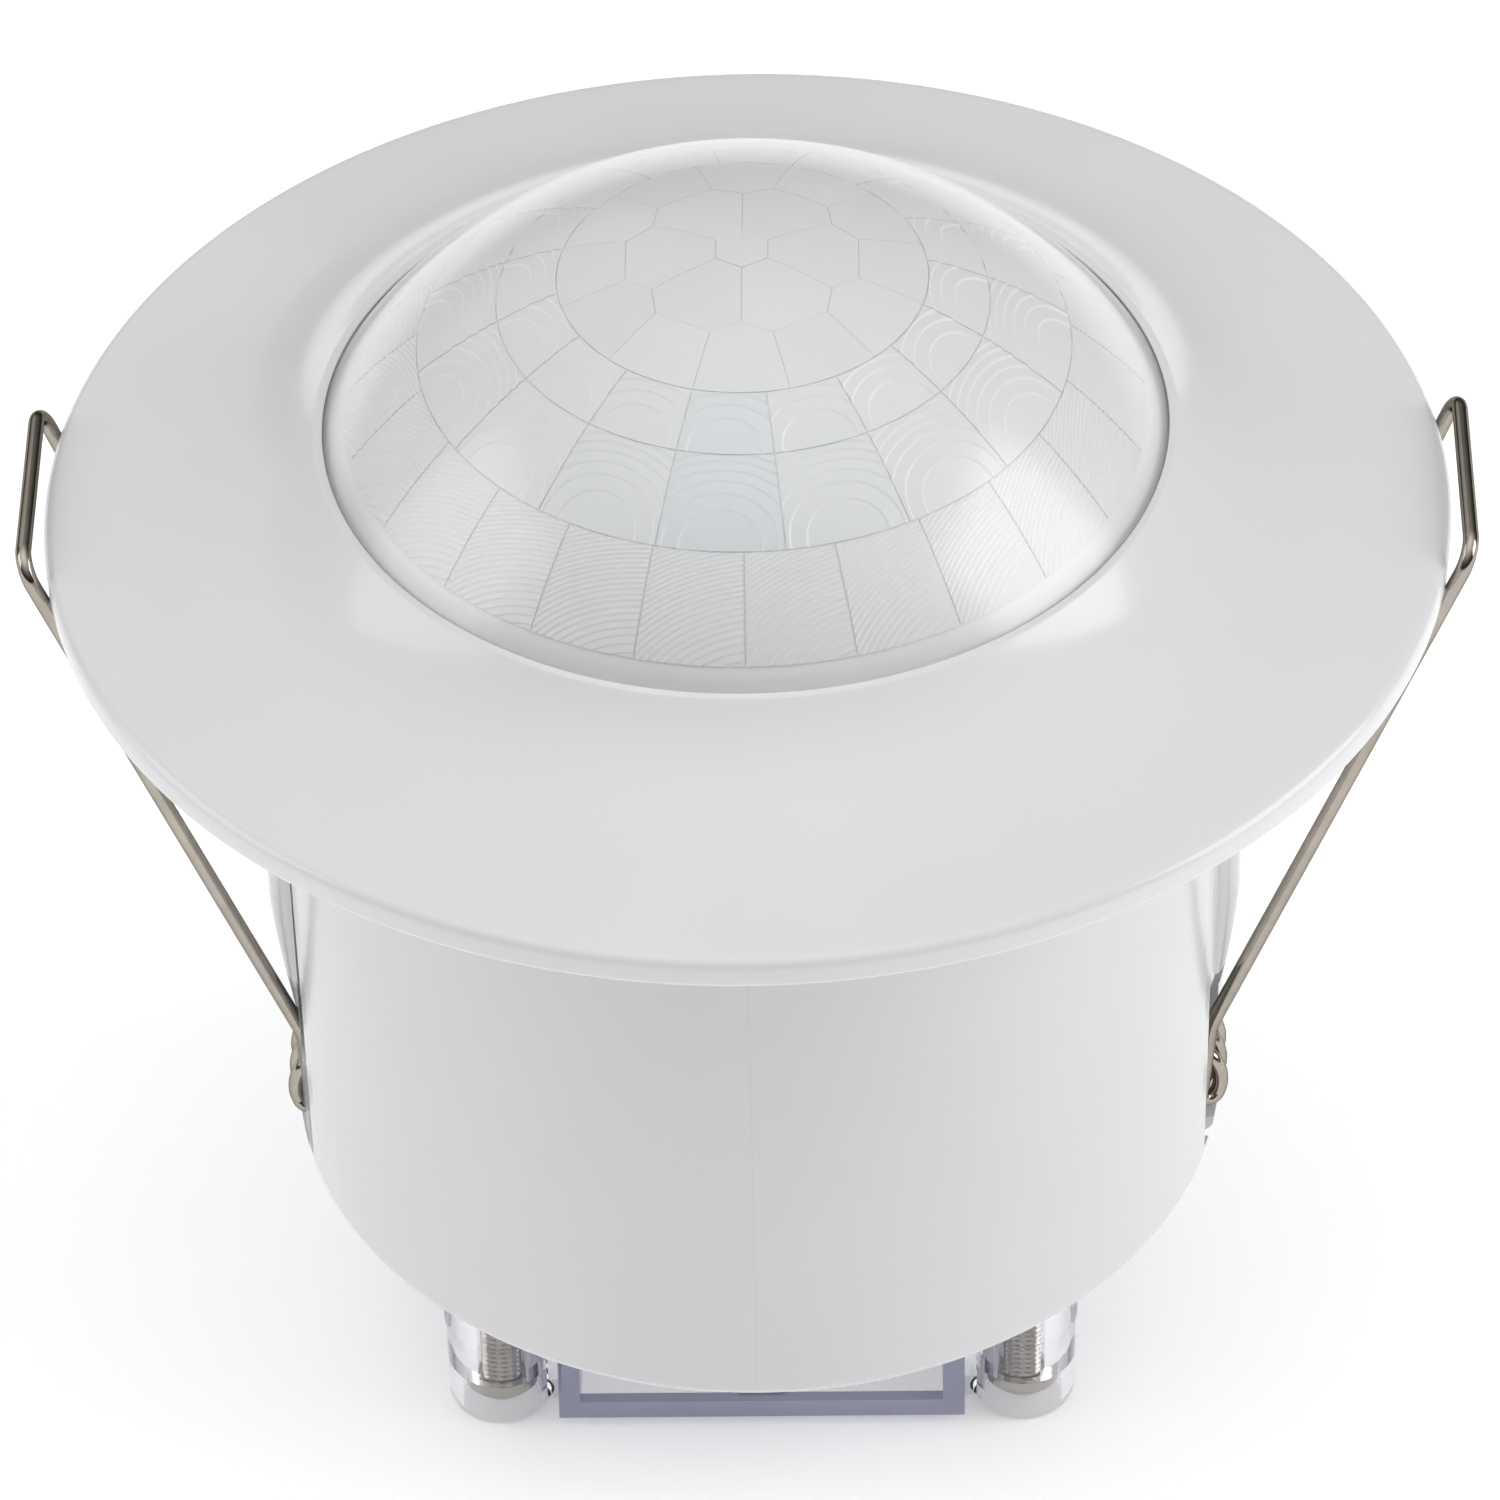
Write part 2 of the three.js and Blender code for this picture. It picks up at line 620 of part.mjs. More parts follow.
buildBezel();
buildLens();
buildHousing();
buildClip('right_clip', 1);
buildClip('left_clip', -1);
buildTerminalCover();
buildCoverScrews();
buildTerminals();
buildPowerBoard();
buildSensorBoard();
buildDetectorElement();
buildControls();

detector.position.z = POST_DROP;

export default detector;
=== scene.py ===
"""Looks of a recessed ceiling motion sensor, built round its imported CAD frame.

Metres, in the part's frame: +Z is the way the lens looks, the spring clips open along X,
and the cable window of the terminal cover faces -Y.
"""
import json
import math

import bmesh
import bpy
from mathutils import Matrix, Vector

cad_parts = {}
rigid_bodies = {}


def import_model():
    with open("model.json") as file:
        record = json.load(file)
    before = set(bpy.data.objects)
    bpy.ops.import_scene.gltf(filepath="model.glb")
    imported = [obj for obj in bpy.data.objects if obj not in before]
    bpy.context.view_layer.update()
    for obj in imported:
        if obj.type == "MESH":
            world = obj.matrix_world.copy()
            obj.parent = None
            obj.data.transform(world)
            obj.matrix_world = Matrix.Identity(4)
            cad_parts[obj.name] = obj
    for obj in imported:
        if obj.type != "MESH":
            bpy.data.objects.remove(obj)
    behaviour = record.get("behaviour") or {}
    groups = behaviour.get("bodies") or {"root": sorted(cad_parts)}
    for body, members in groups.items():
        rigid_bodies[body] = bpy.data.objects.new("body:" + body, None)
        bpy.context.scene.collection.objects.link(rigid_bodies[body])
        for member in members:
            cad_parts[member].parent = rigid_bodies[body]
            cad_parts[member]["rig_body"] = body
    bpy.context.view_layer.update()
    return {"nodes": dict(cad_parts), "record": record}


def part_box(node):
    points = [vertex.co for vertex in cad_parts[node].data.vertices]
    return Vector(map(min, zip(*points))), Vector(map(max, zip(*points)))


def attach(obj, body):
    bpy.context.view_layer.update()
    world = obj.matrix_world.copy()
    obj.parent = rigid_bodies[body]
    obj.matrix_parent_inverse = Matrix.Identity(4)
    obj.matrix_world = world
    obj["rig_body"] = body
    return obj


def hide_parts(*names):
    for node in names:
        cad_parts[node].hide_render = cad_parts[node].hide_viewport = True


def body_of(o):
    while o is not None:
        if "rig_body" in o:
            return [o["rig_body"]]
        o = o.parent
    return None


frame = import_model()

MM = 0.001
TAU = 2 * math.pi
NODES = frame["nodes"]

# ---- driving dimensions, from the frame where it has them ----
BEZEL_LOW, BEZEL_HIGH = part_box("bezel")
HOUSING_LOW, HOUSING_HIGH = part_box("rear_housing")
LENS_LOW, LENS_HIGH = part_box("fresnel_lens")
COVER_LOW, COVER_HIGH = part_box("terminal_cover")

ROUND = 192                      # facets round the large turned pieces
FINE = 48                        # facets round small turned pieces
CREASE = math.radians(32)        # edges sharper than this are shaded crisp
EASED = math.radians(40)         # edges sharper than this can be given a small bevel
LYING = Matrix.Rotation(math.pi / 2, 4, "X")  # lays an upright turned piece along Y

FLANGE_R = BEZEL_HIGH.x
LIP_Z = BEZEL_HIGH.z
LIP_R = 32 * MM
LIP_RISE = 7.1 * MM
FLANGE_Z = LIP_Z - LIP_RISE      # top of the flange's edge
FLANGE_FOOT_Z = FLANGE_Z - 2.3 * MM
LIP_GAP = 0.07 * MM

DOME_R = 37.9 * MM
DOME_CENTRE = Vector((0, 0, LENS_HIGH.z - DOME_R))
DOME_FOOT_Z = LENS_LOW.z + 1.2 * MM
SKIN = 0.35 * MM                 # clear outer layer of the lens
FACET_R = 37.5 * MM              # crests of the lens segments
SEAM_R = 37.3 * MM               # milky layer that carries the segments
INNER_R = 37.1 * MM

CAN_R = 36.2 * MM
CAN_FRONT_R = 36.8 * MM
CAN_WALL = 2 * MM
CAN_Z0 = HOUSING_LOW.z
CAN_Z1 = HOUSING_HIGH.z
POCKET_X = 28.7 * MM
POCKET_Y = 10.4 * MM
ARM_SLOT_Y = 9.1 * MM
GUARD_X = 37.2 * MM
GUARD_Y = 6.7 * MM
GUARD_ROUND = 3.4 * MM           # how far a guard's rounded side reaches in
CUT_X = 45 * MM                  # cuts through the can's side end out here
CUT_Z0, CUT_Z1 = 11 * MM, 31 * MM  # ends of the cuts through the can's floor

PIN_R = 2 * MM
AXIS_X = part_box("right_clip_pin")[0].x + PIN_R
AXIS_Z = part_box("right_clip_pin")[0].z + PIN_R
WIRE_R = 0.6 * MM

POST_X, POST_Y = 20.5 * MM, -16.1 * MM
KNOB_X, KNOB_Y = 8 * MM, 24.5 * MM
PLATE_Z = 1 * MM                 # rear face of the terminal cover, above the tips of its feet


# ---- outlines and meshes ----

def filleted(outline, steps=6):
    """(r, z) points, where a point (r, z, radius) becomes an arc of that radius."""
    points = []
    for i, (r, z, *radius) in enumerate(outline):
        corner = Vector((r, z))
        if not radius:
            points.append(corner)
            continue
        back = (Vector(outline[i - 1][:2]) - corner).normalized()
        ahead = (Vector(outline[(i + 1) % len(outline)][:2]) - corner).normalized()
        half = back.angle(ahead) / 2
        centre = corner + (back + ahead).normalized() * radius[0] / math.sin(half)
        start = corner + back * radius[0] / math.tan(half) - centre
        end = corner + ahead * radius[0] / math.tan(half) - centre
        for k in range(steps + 1):
            points.append(centre + start.slerp(end, k / steps) * start.length)
    return points


def skin_over(bm, rows, material=0):
    """Joins neighbouring rows of vertices with faces; a row of one vertex is a pole."""
    for low, high in zip(rows, rows[1:]):
        count = max(len(low), len(high))
        for k in range(count):
            corners = [low[k % len(low)], low[(k + 1) % count % len(low)],
                       high[(k + 1) % count % len(high)], high[k % len(high)]]
            corners = list(dict.fromkeys(corners))
            if len(corners) > 2:
                bm.faces.new(corners).material_index = material


def lathe(bm, outline, segments=ROUND, material=0, closed=False, place=(0, 0, 0)):
    """Turns an outline of (r, z) points about the Z axis through place."""
    place = Vector(place)
    rows = []
    for r, z in outline:
        if r < 1e-9:
            rows.append([bm.verts.new(place + Vector((0, 0, z)))])
            continue
        angles = [TAU * k / segments for k in range(segments)]
        rows.append([bm.verts.new(place + Vector((r * math.cos(a), r * math.sin(a), z)))
                     for a in angles])
    skin_over(bm, rows + rows[:1] if closed else rows, material)
    return bm


def turned(outline, segments=FINE, closed=False, place=(0, 0, 0)):
    return lathe(bmesh.new(), outline, segments, closed=closed, place=place)


def rod(radius, z0, z1, place=(0, 0, 0)):
    return turned([(0, z0), (radius, z0), (radius, z1), (0, z1)], place=place)


def block(low, high):
    bm = bmesh.new()
    low, high = Vector(low), Vector(high)
    size = Matrix.Diagonal((high - low).to_4d())
    size[3][3] = 1
    bmesh.ops.create_cube(bm, size=1, matrix=Matrix.Translation((low + high) / 2) @ size)
    return bm


def spun(bm, side):
    """The mesh as it is for the +X side, or given a half turn for the -X side."""
    if side < 0:
        bm.transform(Matrix.Rotation(math.pi, 4, "Z"))
    return bm


def helper(bm):
    """A scratch object for the boolean steps; it takes over the mesh that it is given."""
    bmesh.ops.recalc_face_normals(bm, faces=bm.faces)
    mesh = bpy.data.meshes.new("helper")
    bm.to_mesh(mesh)
    bm.free()
    obj = bpy.data.objects.new("helper", mesh)
    bpy.context.scene.collection.objects.link(obj)
    return obj


def carved(base, steps):
    """A mesh after a list of (operation, tool mesh) steps: UNION, DIFFERENCE or INTERSECT."""
    obj = helper(base)
    for operation, tool in steps:
        other = helper(tool)
        modifier = obj.modifiers.new("step", "BOOLEAN")
        modifier.operation = operation
        modifier.solver = "MANIFOLD"
        modifier.object = other
        bpy.context.view_layer.update()
        graph = bpy.context.evaluated_depsgraph_get()
        mesh = bpy.data.meshes.new_from_object(obj.evaluated_get(graph))
        obj.modifiers.clear()
        obj.data = mesh
        bpy.data.objects.remove(other)
    result = bmesh.new()
    result.from_mesh(obj.data)
    bpy.data.objects.remove(obj)
    return result


def smooth(bm):
    """Shades smooth, with the sharper edges kept crisp."""
    for face in bm.faces:
        face.smooth = True
    for edge in bm.edges:
        if len(edge.link_faces) == 2:
            edge.smooth = edge.calc_face_angle(0) < CREASE


def ease_edges(obj, width):
    """Rounds the sharp edges of an object a little."""
    edge = obj.modifiers.new("edges", "BEVEL")
    edge.width = width
    edge.segments = 3
    edge.limit_method = "ANGLE"
    edge.angle_limit = EASED
    edge.harden_normals = True


def piece(name, bm, materials, body="detector", nodes=(), bevel=None):
    """Makes a finished piece, which rides on its body and stands for its CAD nodes."""
    bmesh.ops.recalc_face_normals(bm, faces=bm.faces)
    smooth(bm)
    mesh = bpy.data.meshes.new(name)
    bm.to_mesh(mesh)
    bm.free()
    obj = bpy.data.objects.new(name, mesh)
    bpy.context.scene.collection.objects.link(obj)
    for material in materials:
        mesh.materials.append(material)
    if bevel:
        ease_edges(obj, bevel)
    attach(obj, body)
    if nodes:
        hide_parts(*nodes)
    return obj


# ---- materials ----

class Finish:
    """A procedural material built round one Principled shader."""

    def __init__(self, name, **values):
        self.material = bpy.data.materials.new(name)
        self.material.use_nodes = True
        self.tree = self.material.node_tree
        self.shader = self.tree.nodes["Principled BSDF"]
        self.output = self.tree.nodes["Material Output"]
        self.set(self.shader, values)

    @staticmethod
    def set(node, values):
        for key, value in values.items():
            node.inputs[key.replace("_", " ")].default_value = value

    def add(self, kind, values=None, **settings):
        node = self.tree.nodes.new("ShaderNode" + kind)
        for key, value in settings.items():
            setattr(node, key, value)
        self.set(node, values or {})
        return node

    def link(self, source, target):
        self.tree.links.new(source, target)

    def position(self):
        return self.add("TexCoord").outputs["Object"]

    def noise(self, scale, detail, roughness=0.5):
        """Noise over the object, with scale in features per metre."""
        noise = self.add("TexNoise", {"Scale": scale, "Detail": detail, "Roughness": roughness})
        self.link(self.position(), noise.inputs["Vector"])
        return noise.outputs["Fac"]

    def ramp(self, source, stops):
        """Maps a 0 to 1 value to colours or greys at given places."""
        ramp = self.add("ValToRGB")
        elements = ramp.color_ramp.elements
        while len(elements) < len(stops):
            elements.new(0.5)
        for element, (place, colour) in zip(elements, stops):
            element.position = place
            grey = isinstance(colour, (int, float))
            element.color = (colour,) * 3 + (1,) if grey else (*colour, 1)
        self.link(source, ramp.inputs["Fac"])
        return ramp.outputs["Color"]

    def math(self, operation, *values):
        node = self.add("Math", operation=operation)
        for i, value in enumerate(values):
            if isinstance(value, (int, float)):
                node.inputs[i].default_value = value
            else:
                self.link(value, node.inputs[i])
        return node.outputs["Value"]

    def bump(self, height, distance, strength, before=None):
        node = self.add("Bump", {"Strength": strength, "Distance": distance})
        self.link(height, node.inputs["Height"])
        if before:
            self.link(before, node.inputs["Normal"])
        return node.outputs["Normal"]

    def colour(self, source):
        self.link(source, self.shader.inputs["Base Color"])

    def roughness(self, source):
        self.link(source, self.shader.inputs["Roughness"])

    def normal(self, source):
        self.link(source, self.shader.inputs["Normal"])

    def shades(self, scale, detail, dark, light, **noise):
        """Colours the surface by a noise that drifts between two shades."""
        self.colour(self.ramp(self.noise(scale, detail, **noise), [(0.3, dark), (0.7, light)]))

    def gloss(self, scale, detail, low, high, end=0.8):
        """Lets a noise vary the roughness between two values."""
        self.roughness(self.ramp(self.noise(scale, detail), [(0.3, low), (end, high)]))

    def blend(self, amount, under, over):
        """Mixes two shaders: amount 0 shows the first and 1 the second."""
        mix = self.add("MixShader")
        self.link(amount, mix.inputs["Fac"])
        self.link(under, mix.inputs[1])
        self.link(over, mix.inputs[2])
        return mix.outputs["Shader"]


def moulded(name, light, dark, rough, grain, **values):
    """Moulded plastic: a slow drift of shade, uneven gloss and a faint grain in the surface."""
    finish = Finish(name, **values)
    finish.shades(45, 3, dark, light)
    finish.gloss(160, 4, rough * 0.85, rough * 1.2, 0.75)
    flow = finish.bump(finish.noise(70, 1), 0.04 * MM, 0.35)
    finish.normal(finish.bump(finish.noise(2600, 2), grain, 0.5, flow))
    return finish


def white_shell(name, shade, parting=False):
    """Glossy white housing plastic; parting draws the mould's faint line down its front."""
    dark = shade - 0.025
    finish = moulded(name, (shade, shade, shade + 0.01), (dark, dark, shade - 0.01), 0.2, 0.004 * MM,
                     Specular_IOR_Level=0.5, Coat_Weight=0.25, Coat_Roughness=0.08)
    if parting:
        place = finish.add("SeparateXYZ")
        finish.link(finish.position(), place.inputs["Vector"])
        offset = finish.math("ABSOLUTE", place.outputs["X"])
        line = finish.math("MULTIPLY", finish.math("LESS_THAN", offset, 0.06 * MM), 0.35)
        mix = finish.add("Mix", data_type="RGBA")
        finish.link(line, mix.inputs["Factor"])
        finish.link(finish.shader.inputs["Base Color"].links[0].from_socket, mix.inputs[6])
        mix.inputs[7].default_value = (0.62, 0.62, 0.63, 1)
        finish.colour(mix.outputs[2])
    return finish.material


def drawn_metal(name, light, dark, rough, **values):
    """Plated metal: slightly patchy plating, fine drawing marks and uneven gloss."""
    finish = Finish(name, Metallic=1.0, **values)
    finish.shades(350, 4, dark, light, roughness=0.6)
    finish.gloss(500, 3, rough * 0.8, rough * 1.3, 0.75)
    finish.normal(finish.bump(finish.noise(2200, 3), 0.003 * MM, 0.3))
    return finish.material


def lens_facets():
    """Milky lens segments, each a slightly different tone; the segments at the front are painted darker
    and bluer, a painted shade for the dark inside seen through the lens.
    """
    finish = Finish("lens_facets", Roughness=0.45)
    tone_and_painted_shade = finish.add("Attribute", attribute_name="tone_and_painted_shade", attribute_type="GEOMETRY")
    # the higher the value, the darker and bluer the colour; on the front segments this is painted shade
    finish.colour(finish.ramp(tone_and_painted_shade.outputs["Fac"],
                              [(0.0, (0.825, 0.83, 0.825)), (1.0, (0.73, 0.77, 0.80))]))
    finish.normal(finish.bump(finish.noise(2500, 2), 0.004 * MM, 0.4))
    return finish.material


def milky_layer_and_painted_light():
    """The milky layer between and under the segments, a little whiter than them; where it shows at the
    seams and covers the grooves' steep sides, its light lines are painted highlight.
    """
    finish = Finish("milky_layer_and_painted_light", Roughness=0.4)
    finish.shades(120, 3, (0.87, 0.87, 0.86), (0.90, 0.90, 0.89))
    return finish.material


HEAD_ON_GLOSS = 0.06             # share of light that the lens mirrors when seen straight on


def lens_skin(name, haze, grazing, gloss=True):
    """The clear outer layer: nearly transparent, milky near its outline, with a gloss on top."""
    finish = Finish(name, Roughness=0.3, Specular_IOR_Level=0.0)
    finish.shades(60, 2, (0.85, 0.85, 0.84), (0.88, 0.88, 0.875))
    finish.normal(finish.bump(finish.noise(90, 1), 0.05 * MM, 0.2))
    clear = finish.add("BsdfTransparent")
    facing = finish.add("LayerWeight", {"Blend": 0.5})
    outline = finish.math("POWER", facing.outputs["Facing"], 5.0)
    milky = finish.math("MINIMUM", finish.math("MULTIPLY_ADD", outline, grazing, haze), 1.0)
    skin = finish.blend(milky, clear.outputs["BSDF"], finish.shader.outputs["BSDF"])
    if gloss:
        shine = finish.add("BsdfGlossy", {"Roughness": 0.22, "Color": (1, 1, 1, 1)})
        finish.link(finish.shader.inputs["Normal"].links[0].from_socket, shine.inputs["Normal"])
        mirrored = finish.math("MULTIPLY_ADD", outline, 1 - HEAD_ON_GLOSS, HEAD_ON_GLOSS)
        skin = finish.blend(mirrored, skin, shine.outputs["BSDF"])
    finish.link(skin, finish.output.inputs["Surface"])
    return finish.material


def clear_cover():
    """Clear moulded polycarbonate with a violet-grey body tint."""
    finish = Finish("clear_cover", Transmission_Weight=1.0, IOR=1.58)
    finish.shades(120, 2, (0.93, 0.93, 0.97), (0.96, 0.96, 0.985))
    finish.gloss(300, 3, 0.02, 0.07)
    finish.normal(finish.bump(finish.noise(220, 2), 0.05 * MM, 0.3))
    return finish.material


def tinted_cover():
    """The cover's thin walls, where the violet tint of the clear plastic gathers."""
    finish = Finish("tinted_cover", Alpha=0.55, IOR=1.58)
    finish.shades(60, 2, (0.26, 0.27, 0.43), (0.33, 0.34, 0.51))
    finish.gloss(300, 3, 0.06, 0.14)
    finish.normal(finish.bump(finish.noise(160, 2), 0.05 * MM, 0.3))
    return finish.material


def circuit_board():
    """Green solder mask with copper tracks showing through."""
    finish = Finish("circuit_board", Specular_IOR_Level=0.5)
    tracks = finish.add("TexBrick", {
        "Scale": 420.0, "Mortar Size": 0.06, "Brick Width": 0.9,
        "Color1": (0.018, 0.17, 0.06, 1), "Color2": (0.02, 0.2, 0.075, 1),
        "Mortar": (0.05, 0.32, 0.12, 1)})
    finish.link(finish.position(), tracks.inputs["Vector"])
    finish.colour(tracks.outputs["Color"])
    finish.gloss(700, 3, 0.28, 0.42)
    finish.normal(finish.bump(tracks.outputs["Fac"], 0.03 * MM, 0.6))
    return finish.material


WHITE = white_shell("white_shell", 0.80)
# painted shade: the housing is the same white plastic as the bezel, given a darker shade
WHITE_BODY_PAINTED_SHADE = white_shell("white_shell_body_painted_shade", 0.72, parting=True)
MOULDING = moulded("white_moulding", (0.78, 0.78, 0.78), (0.74, 0.74, 0.74), 0.4, 0.01 * MM).material
GREY = moulded("grey_moulding", (0.27, 0.275, 0.29), (0.23, 0.235, 0.25), 0.45, 0.012 * MM).material
BLACK = moulded("black_case", (0.02, 0.02, 0.023), (0.012, 0.012, 0.014), 0.4, 0.01 * MM).material
BLUE = moulded("blue_case", (0.03, 0.10, 0.36), (0.025, 0.08, 0.3), 0.38, 0.01 * MM).material
DARK = moulded("dark_window", (0.012, 0.012, 0.018), (0.008, 0.008, 0.012), 0.1, 0.002 * MM).material
NICKEL = drawn_metal("spring_wire", (0.44, 0.40, 0.35), (0.36, 0.325, 0.28), 0.14,
                     Specular_Tint=(0.35, 0.33, 0.30, 1))
ZINC = drawn_metal("zinc_steel", (0.48, 0.44, 0.39), (0.38, 0.345, 0.30), 0.2)
CAN_METAL = drawn_metal("sensor_can", (0.68, 0.66, 0.60), (0.58, 0.56, 0.50), 0.3)
BRASS = drawn_metal("clamp_brass", (0.70, 0.52, 0.22), (0.58, 0.42, 0.17), 0.3)
BOARD = circuit_board()
FACETS = lens_facets()
MILKY_AND_PAINTED_LIGHT = milky_layer_and_painted_light()
SKIN_OUT = lens_skin("lens_skin", 0.12, 0.8)
SKIN_IN = lens_skin("lens_skin_inside", 0.0, 0.2, gloss=False)
CLEAR = clear_cover()
TINTED = tinted_cover()


# ---- bezel ----

def crown(radius):
    """Height of the bezel's top face: a low slope, then a fillet up to the lip."""
    inward = (FLANGE_R - radius) / (FLANGE_R - LIP_R)
    return FLANGE_Z + LIP_RISE * (0.42 * inward + 0.58 * inward ** 4)


def dome_radius(z):
    """Radius of the lens's outer face at a height."""
    return math.sqrt(DOME_R ** 2 - (z - DOME_CENTRE.z) ** 2)


def build_bezel():
    """The white ring: its skirt, the underside and rounded edge of its flange, its top and its lip."""
    skirt_r, inner_r = 34.5 * MM, 33.1 * MM
    shelf_z, shelf_r = CAN_Z1 + 0.3 * MM, 38 * MM
    foot_r = 50.2 * MM                                 # inner side of the flange's rim
    first, last, steps = FLANGE_R - 1.4 * MM, LIP_R + 0.35 * MM, 44
    slope = [(r, crown(r)) for r in (first + (last - first) * k / steps for k in range(steps + 1))]
    seat_z = LENS_LOW.z + 1.4 * MM
    lip_sides = [LIP_Z - drop * MM for drop in (0.3, 0.8, 1.3)] + [seat_z + 0.2 * MM]
    outline = filleted([
        (inner_r, BEZEL_LOW.z),
        (skirt_r, BEZEL_LOW.z, 0.3 * MM),
        (skirt_r, shelf_z),
        (shelf_r, shelf_z, 1 * MM),
        (foot_r - 0.3 * MM, FLANGE_FOOT_Z + 0.9 * MM),
        (foot_r, FLANGE_FOOT_Z),
        (FLANGE_R, FLANGE_FOOT_Z, 0.55 * MM),
        (FLANGE_R, FLANGE_Z, 0.95 * MM),
        *slope,
        (LIP_R, LIP_Z, 0.25 * MM),
        (dome_radius(LIP_Z) + 0.25 * MM, LIP_Z, 0.1 * MM),
        *[(dome_radius(z) + LIP_GAP, z) for z in lip_sides],
        (inner_r, seat_z),
    ])
    piece("bezel_shell", turned(outline, ROUND, closed=True), [WHITE],
          nodes=["bezel"])


# ---- lens ----

FRONT = -math.pi / 2                               # azimuth of the -Y side
SEAM_GAP = 0.05 * MM                               # half the seam between two segments
DRAFT = 0.17 * MM                                  # width of a groove's steep side
ZONE_R = 3 * MM                                    # first zone of a segment

RING_TILTS = [math.radians(a) for a in (21.35, 28.95, 40.1, 52.75)]
RING_COUNTS = (16, 16, 23)
RING_STARTS = [math.radians(a) for a in (-15, -15, -15.3)]
RING_ZONES = (                                     # first zone, from, to, relief, spokes, centre
    (ZONE_R * 0.92, 0, 11 * MM, 0.11 * MM, 64),
    (ZONE_R, 0, 11 * MM, 0.11 * MM, 64),
    (3.1 * MM, 5.5 * MM, 18 * MM, 0.09 * MM, 96, (5 * MM, 6.5 * MM)),
)
# painted shade on the lens: per ring, how much darker and bluer its front segments are painted
RING_PAINTED_SHADE = (0.75, 1.0, 0.35)
PAINTED_SHADE_CENTRE = math.radians(-4)                        # azimuth of the deepest painted shade on the segments, from FRONT
PAINTED_SHADE_REACH = math.radians(38)                     # how far round from there the painted shade fades

CAP_TILT = RING_TILTS[0]                           # outer edge of the honeycomb cap
CAP_CELLS = (                                      # count, then reach and weight in cap radii
    (1, 0, 0.155), (6, 0.385, 0.26), (12, 0.79, 0.21))
CELL_REACH = 9 * MM
CELL_BULGE = 4.2                                   # fall of a cell's face, per metre squared
CELL_GAP = SEAM_GAP * 0.3
RIM_SIDES = 96
RIM_REACH = math.radians(25)                       # part of the cap's rim that trims a cell


def on_sphere(radius, azimuth, tilt):
    flat = radius * math.sin(tilt)
    return DOME_CENTRE + Vector((flat * math.cos(azimuth), flat * math.sin(azimuth),
                                 radius * math.cos(tilt)))


def zoned_sheet(first_zone, near, far, depth, spokes, centre=(0, 0)):
    """Flat rings of Fresnel zones about a centre, with their relief as Z.

    Zone n ends at first_zone times the root of n; its steep side is a narrow ring that climbs back.
    """
    bm = bmesh.new()
    if near <= first_zone:
        radii = [(0.0, 0.0), (first_zone * 0.5, -depth * 0.2), (first_zone, -depth)]
        zone = 1
    else:
        zone = max(1, int((near / first_zone) ** 2))
        radii = [(first_zone * math.sqrt(zone), -depth)]
    while radii[-1][0] < far:
        radii.append((radii[-1][0] + DRAFT, 0.0))
        zone += 1
        radii.append((max(first_zone * math.sqrt(zone), radii[-1][0] + DRAFT), -depth))
    rows = []
    for radius, z in radii:
        angles = [TAU * k / spokes for k in range(spokes if radius else 1)]
        rows.append([bm.verts.new((centre[0] + radius * math.cos(a), centre[1] + radius * math.sin(a), z))
                     for a in angles])
    for i, (low, high) in enumerate(zip(rows, rows[1:])):
        steep = radii[i + 1][1] == 0
        skin_over(bm, [low, high], 1 if steep else 0)
    return bm


def domed_sheet(reach, centre):
    """A flat disc whose relief falls away with the square of the radius, as Z."""
    steps, spokes = 14, 40
    outline = [(reach * k / steps, -CELL_BULGE * (reach * k / steps) ** 2) for k in range(steps + 1)]
    return lathe(bmesh.new(), outline, spokes, place=(*centre, 0))


def clipped(bm, planes):
    """Keeps what is inside every (point, outward direction) line of the sheet's plane."""
    for point, outward in planes:
        geometry = list(bm.verts) + list(bm.edges) + list(bm.faces)
        bmesh.ops.bisect_plane(bm, geom=geometry, plane_co=(*point, 0), plane_no=(*outward, 0),
                               clear_outer=True)
    return bm


def stamp(target, sheet, place, tone_and_painted_shade):
    """Thickens a flat segment, bends it on to the sphere and adds it to the lens mesh."""
    foot = FACET_R - SEAM_R + 0.05 * MM                # just inside the milky layer
    made = bmesh.ops.extrude_face_region(sheet, geom=list(sheet.faces), use_keep_orig=True)
    for vert in (v for v in made["geom"] if isinstance(v, bmesh.types.BMVert)):
        vert.co.z = -foot
    bmesh.ops.remove_doubles(sheet, verts=sheet.verts, dist=1e-7)
    moved = {v: target.verts.new(place(v.co)) for v in sheet.verts}
    layer = target.faces.layers.float["tone_and_painted_shade"]
    for face in sheet.faces:
        try:
            copy = target.faces.new([moved[v] for v in face.verts])
        except ValueError:
            continue
        # a groove's steep side takes the whiter milky layer: a painted highlight line
        copy.material_index = 2 if face.material_index == 1 else 1
        # each segment's tone, with painted shade on the segments at the front
        copy[layer] = tone_and_painted_shade
    sheet.free()


def cap_place(co):
    tilt = math.hypot(co.x, co.y) / FACET_R
    return on_sphere(FACET_R + co.z, math.atan2(co.y, co.x), tilt)


def cap_cells(cap):
    """Centres of the honeycomb's cells, each with the weight that sets its size."""
    cells = []
    for count, reach, weight in CAP_CELLS:
        for k in range(count):
            angle = TAU * k / count
            cells.append((reach * cap * math.cos(angle), reach * cap * math.sin(angle), weight * cap))
    return cells


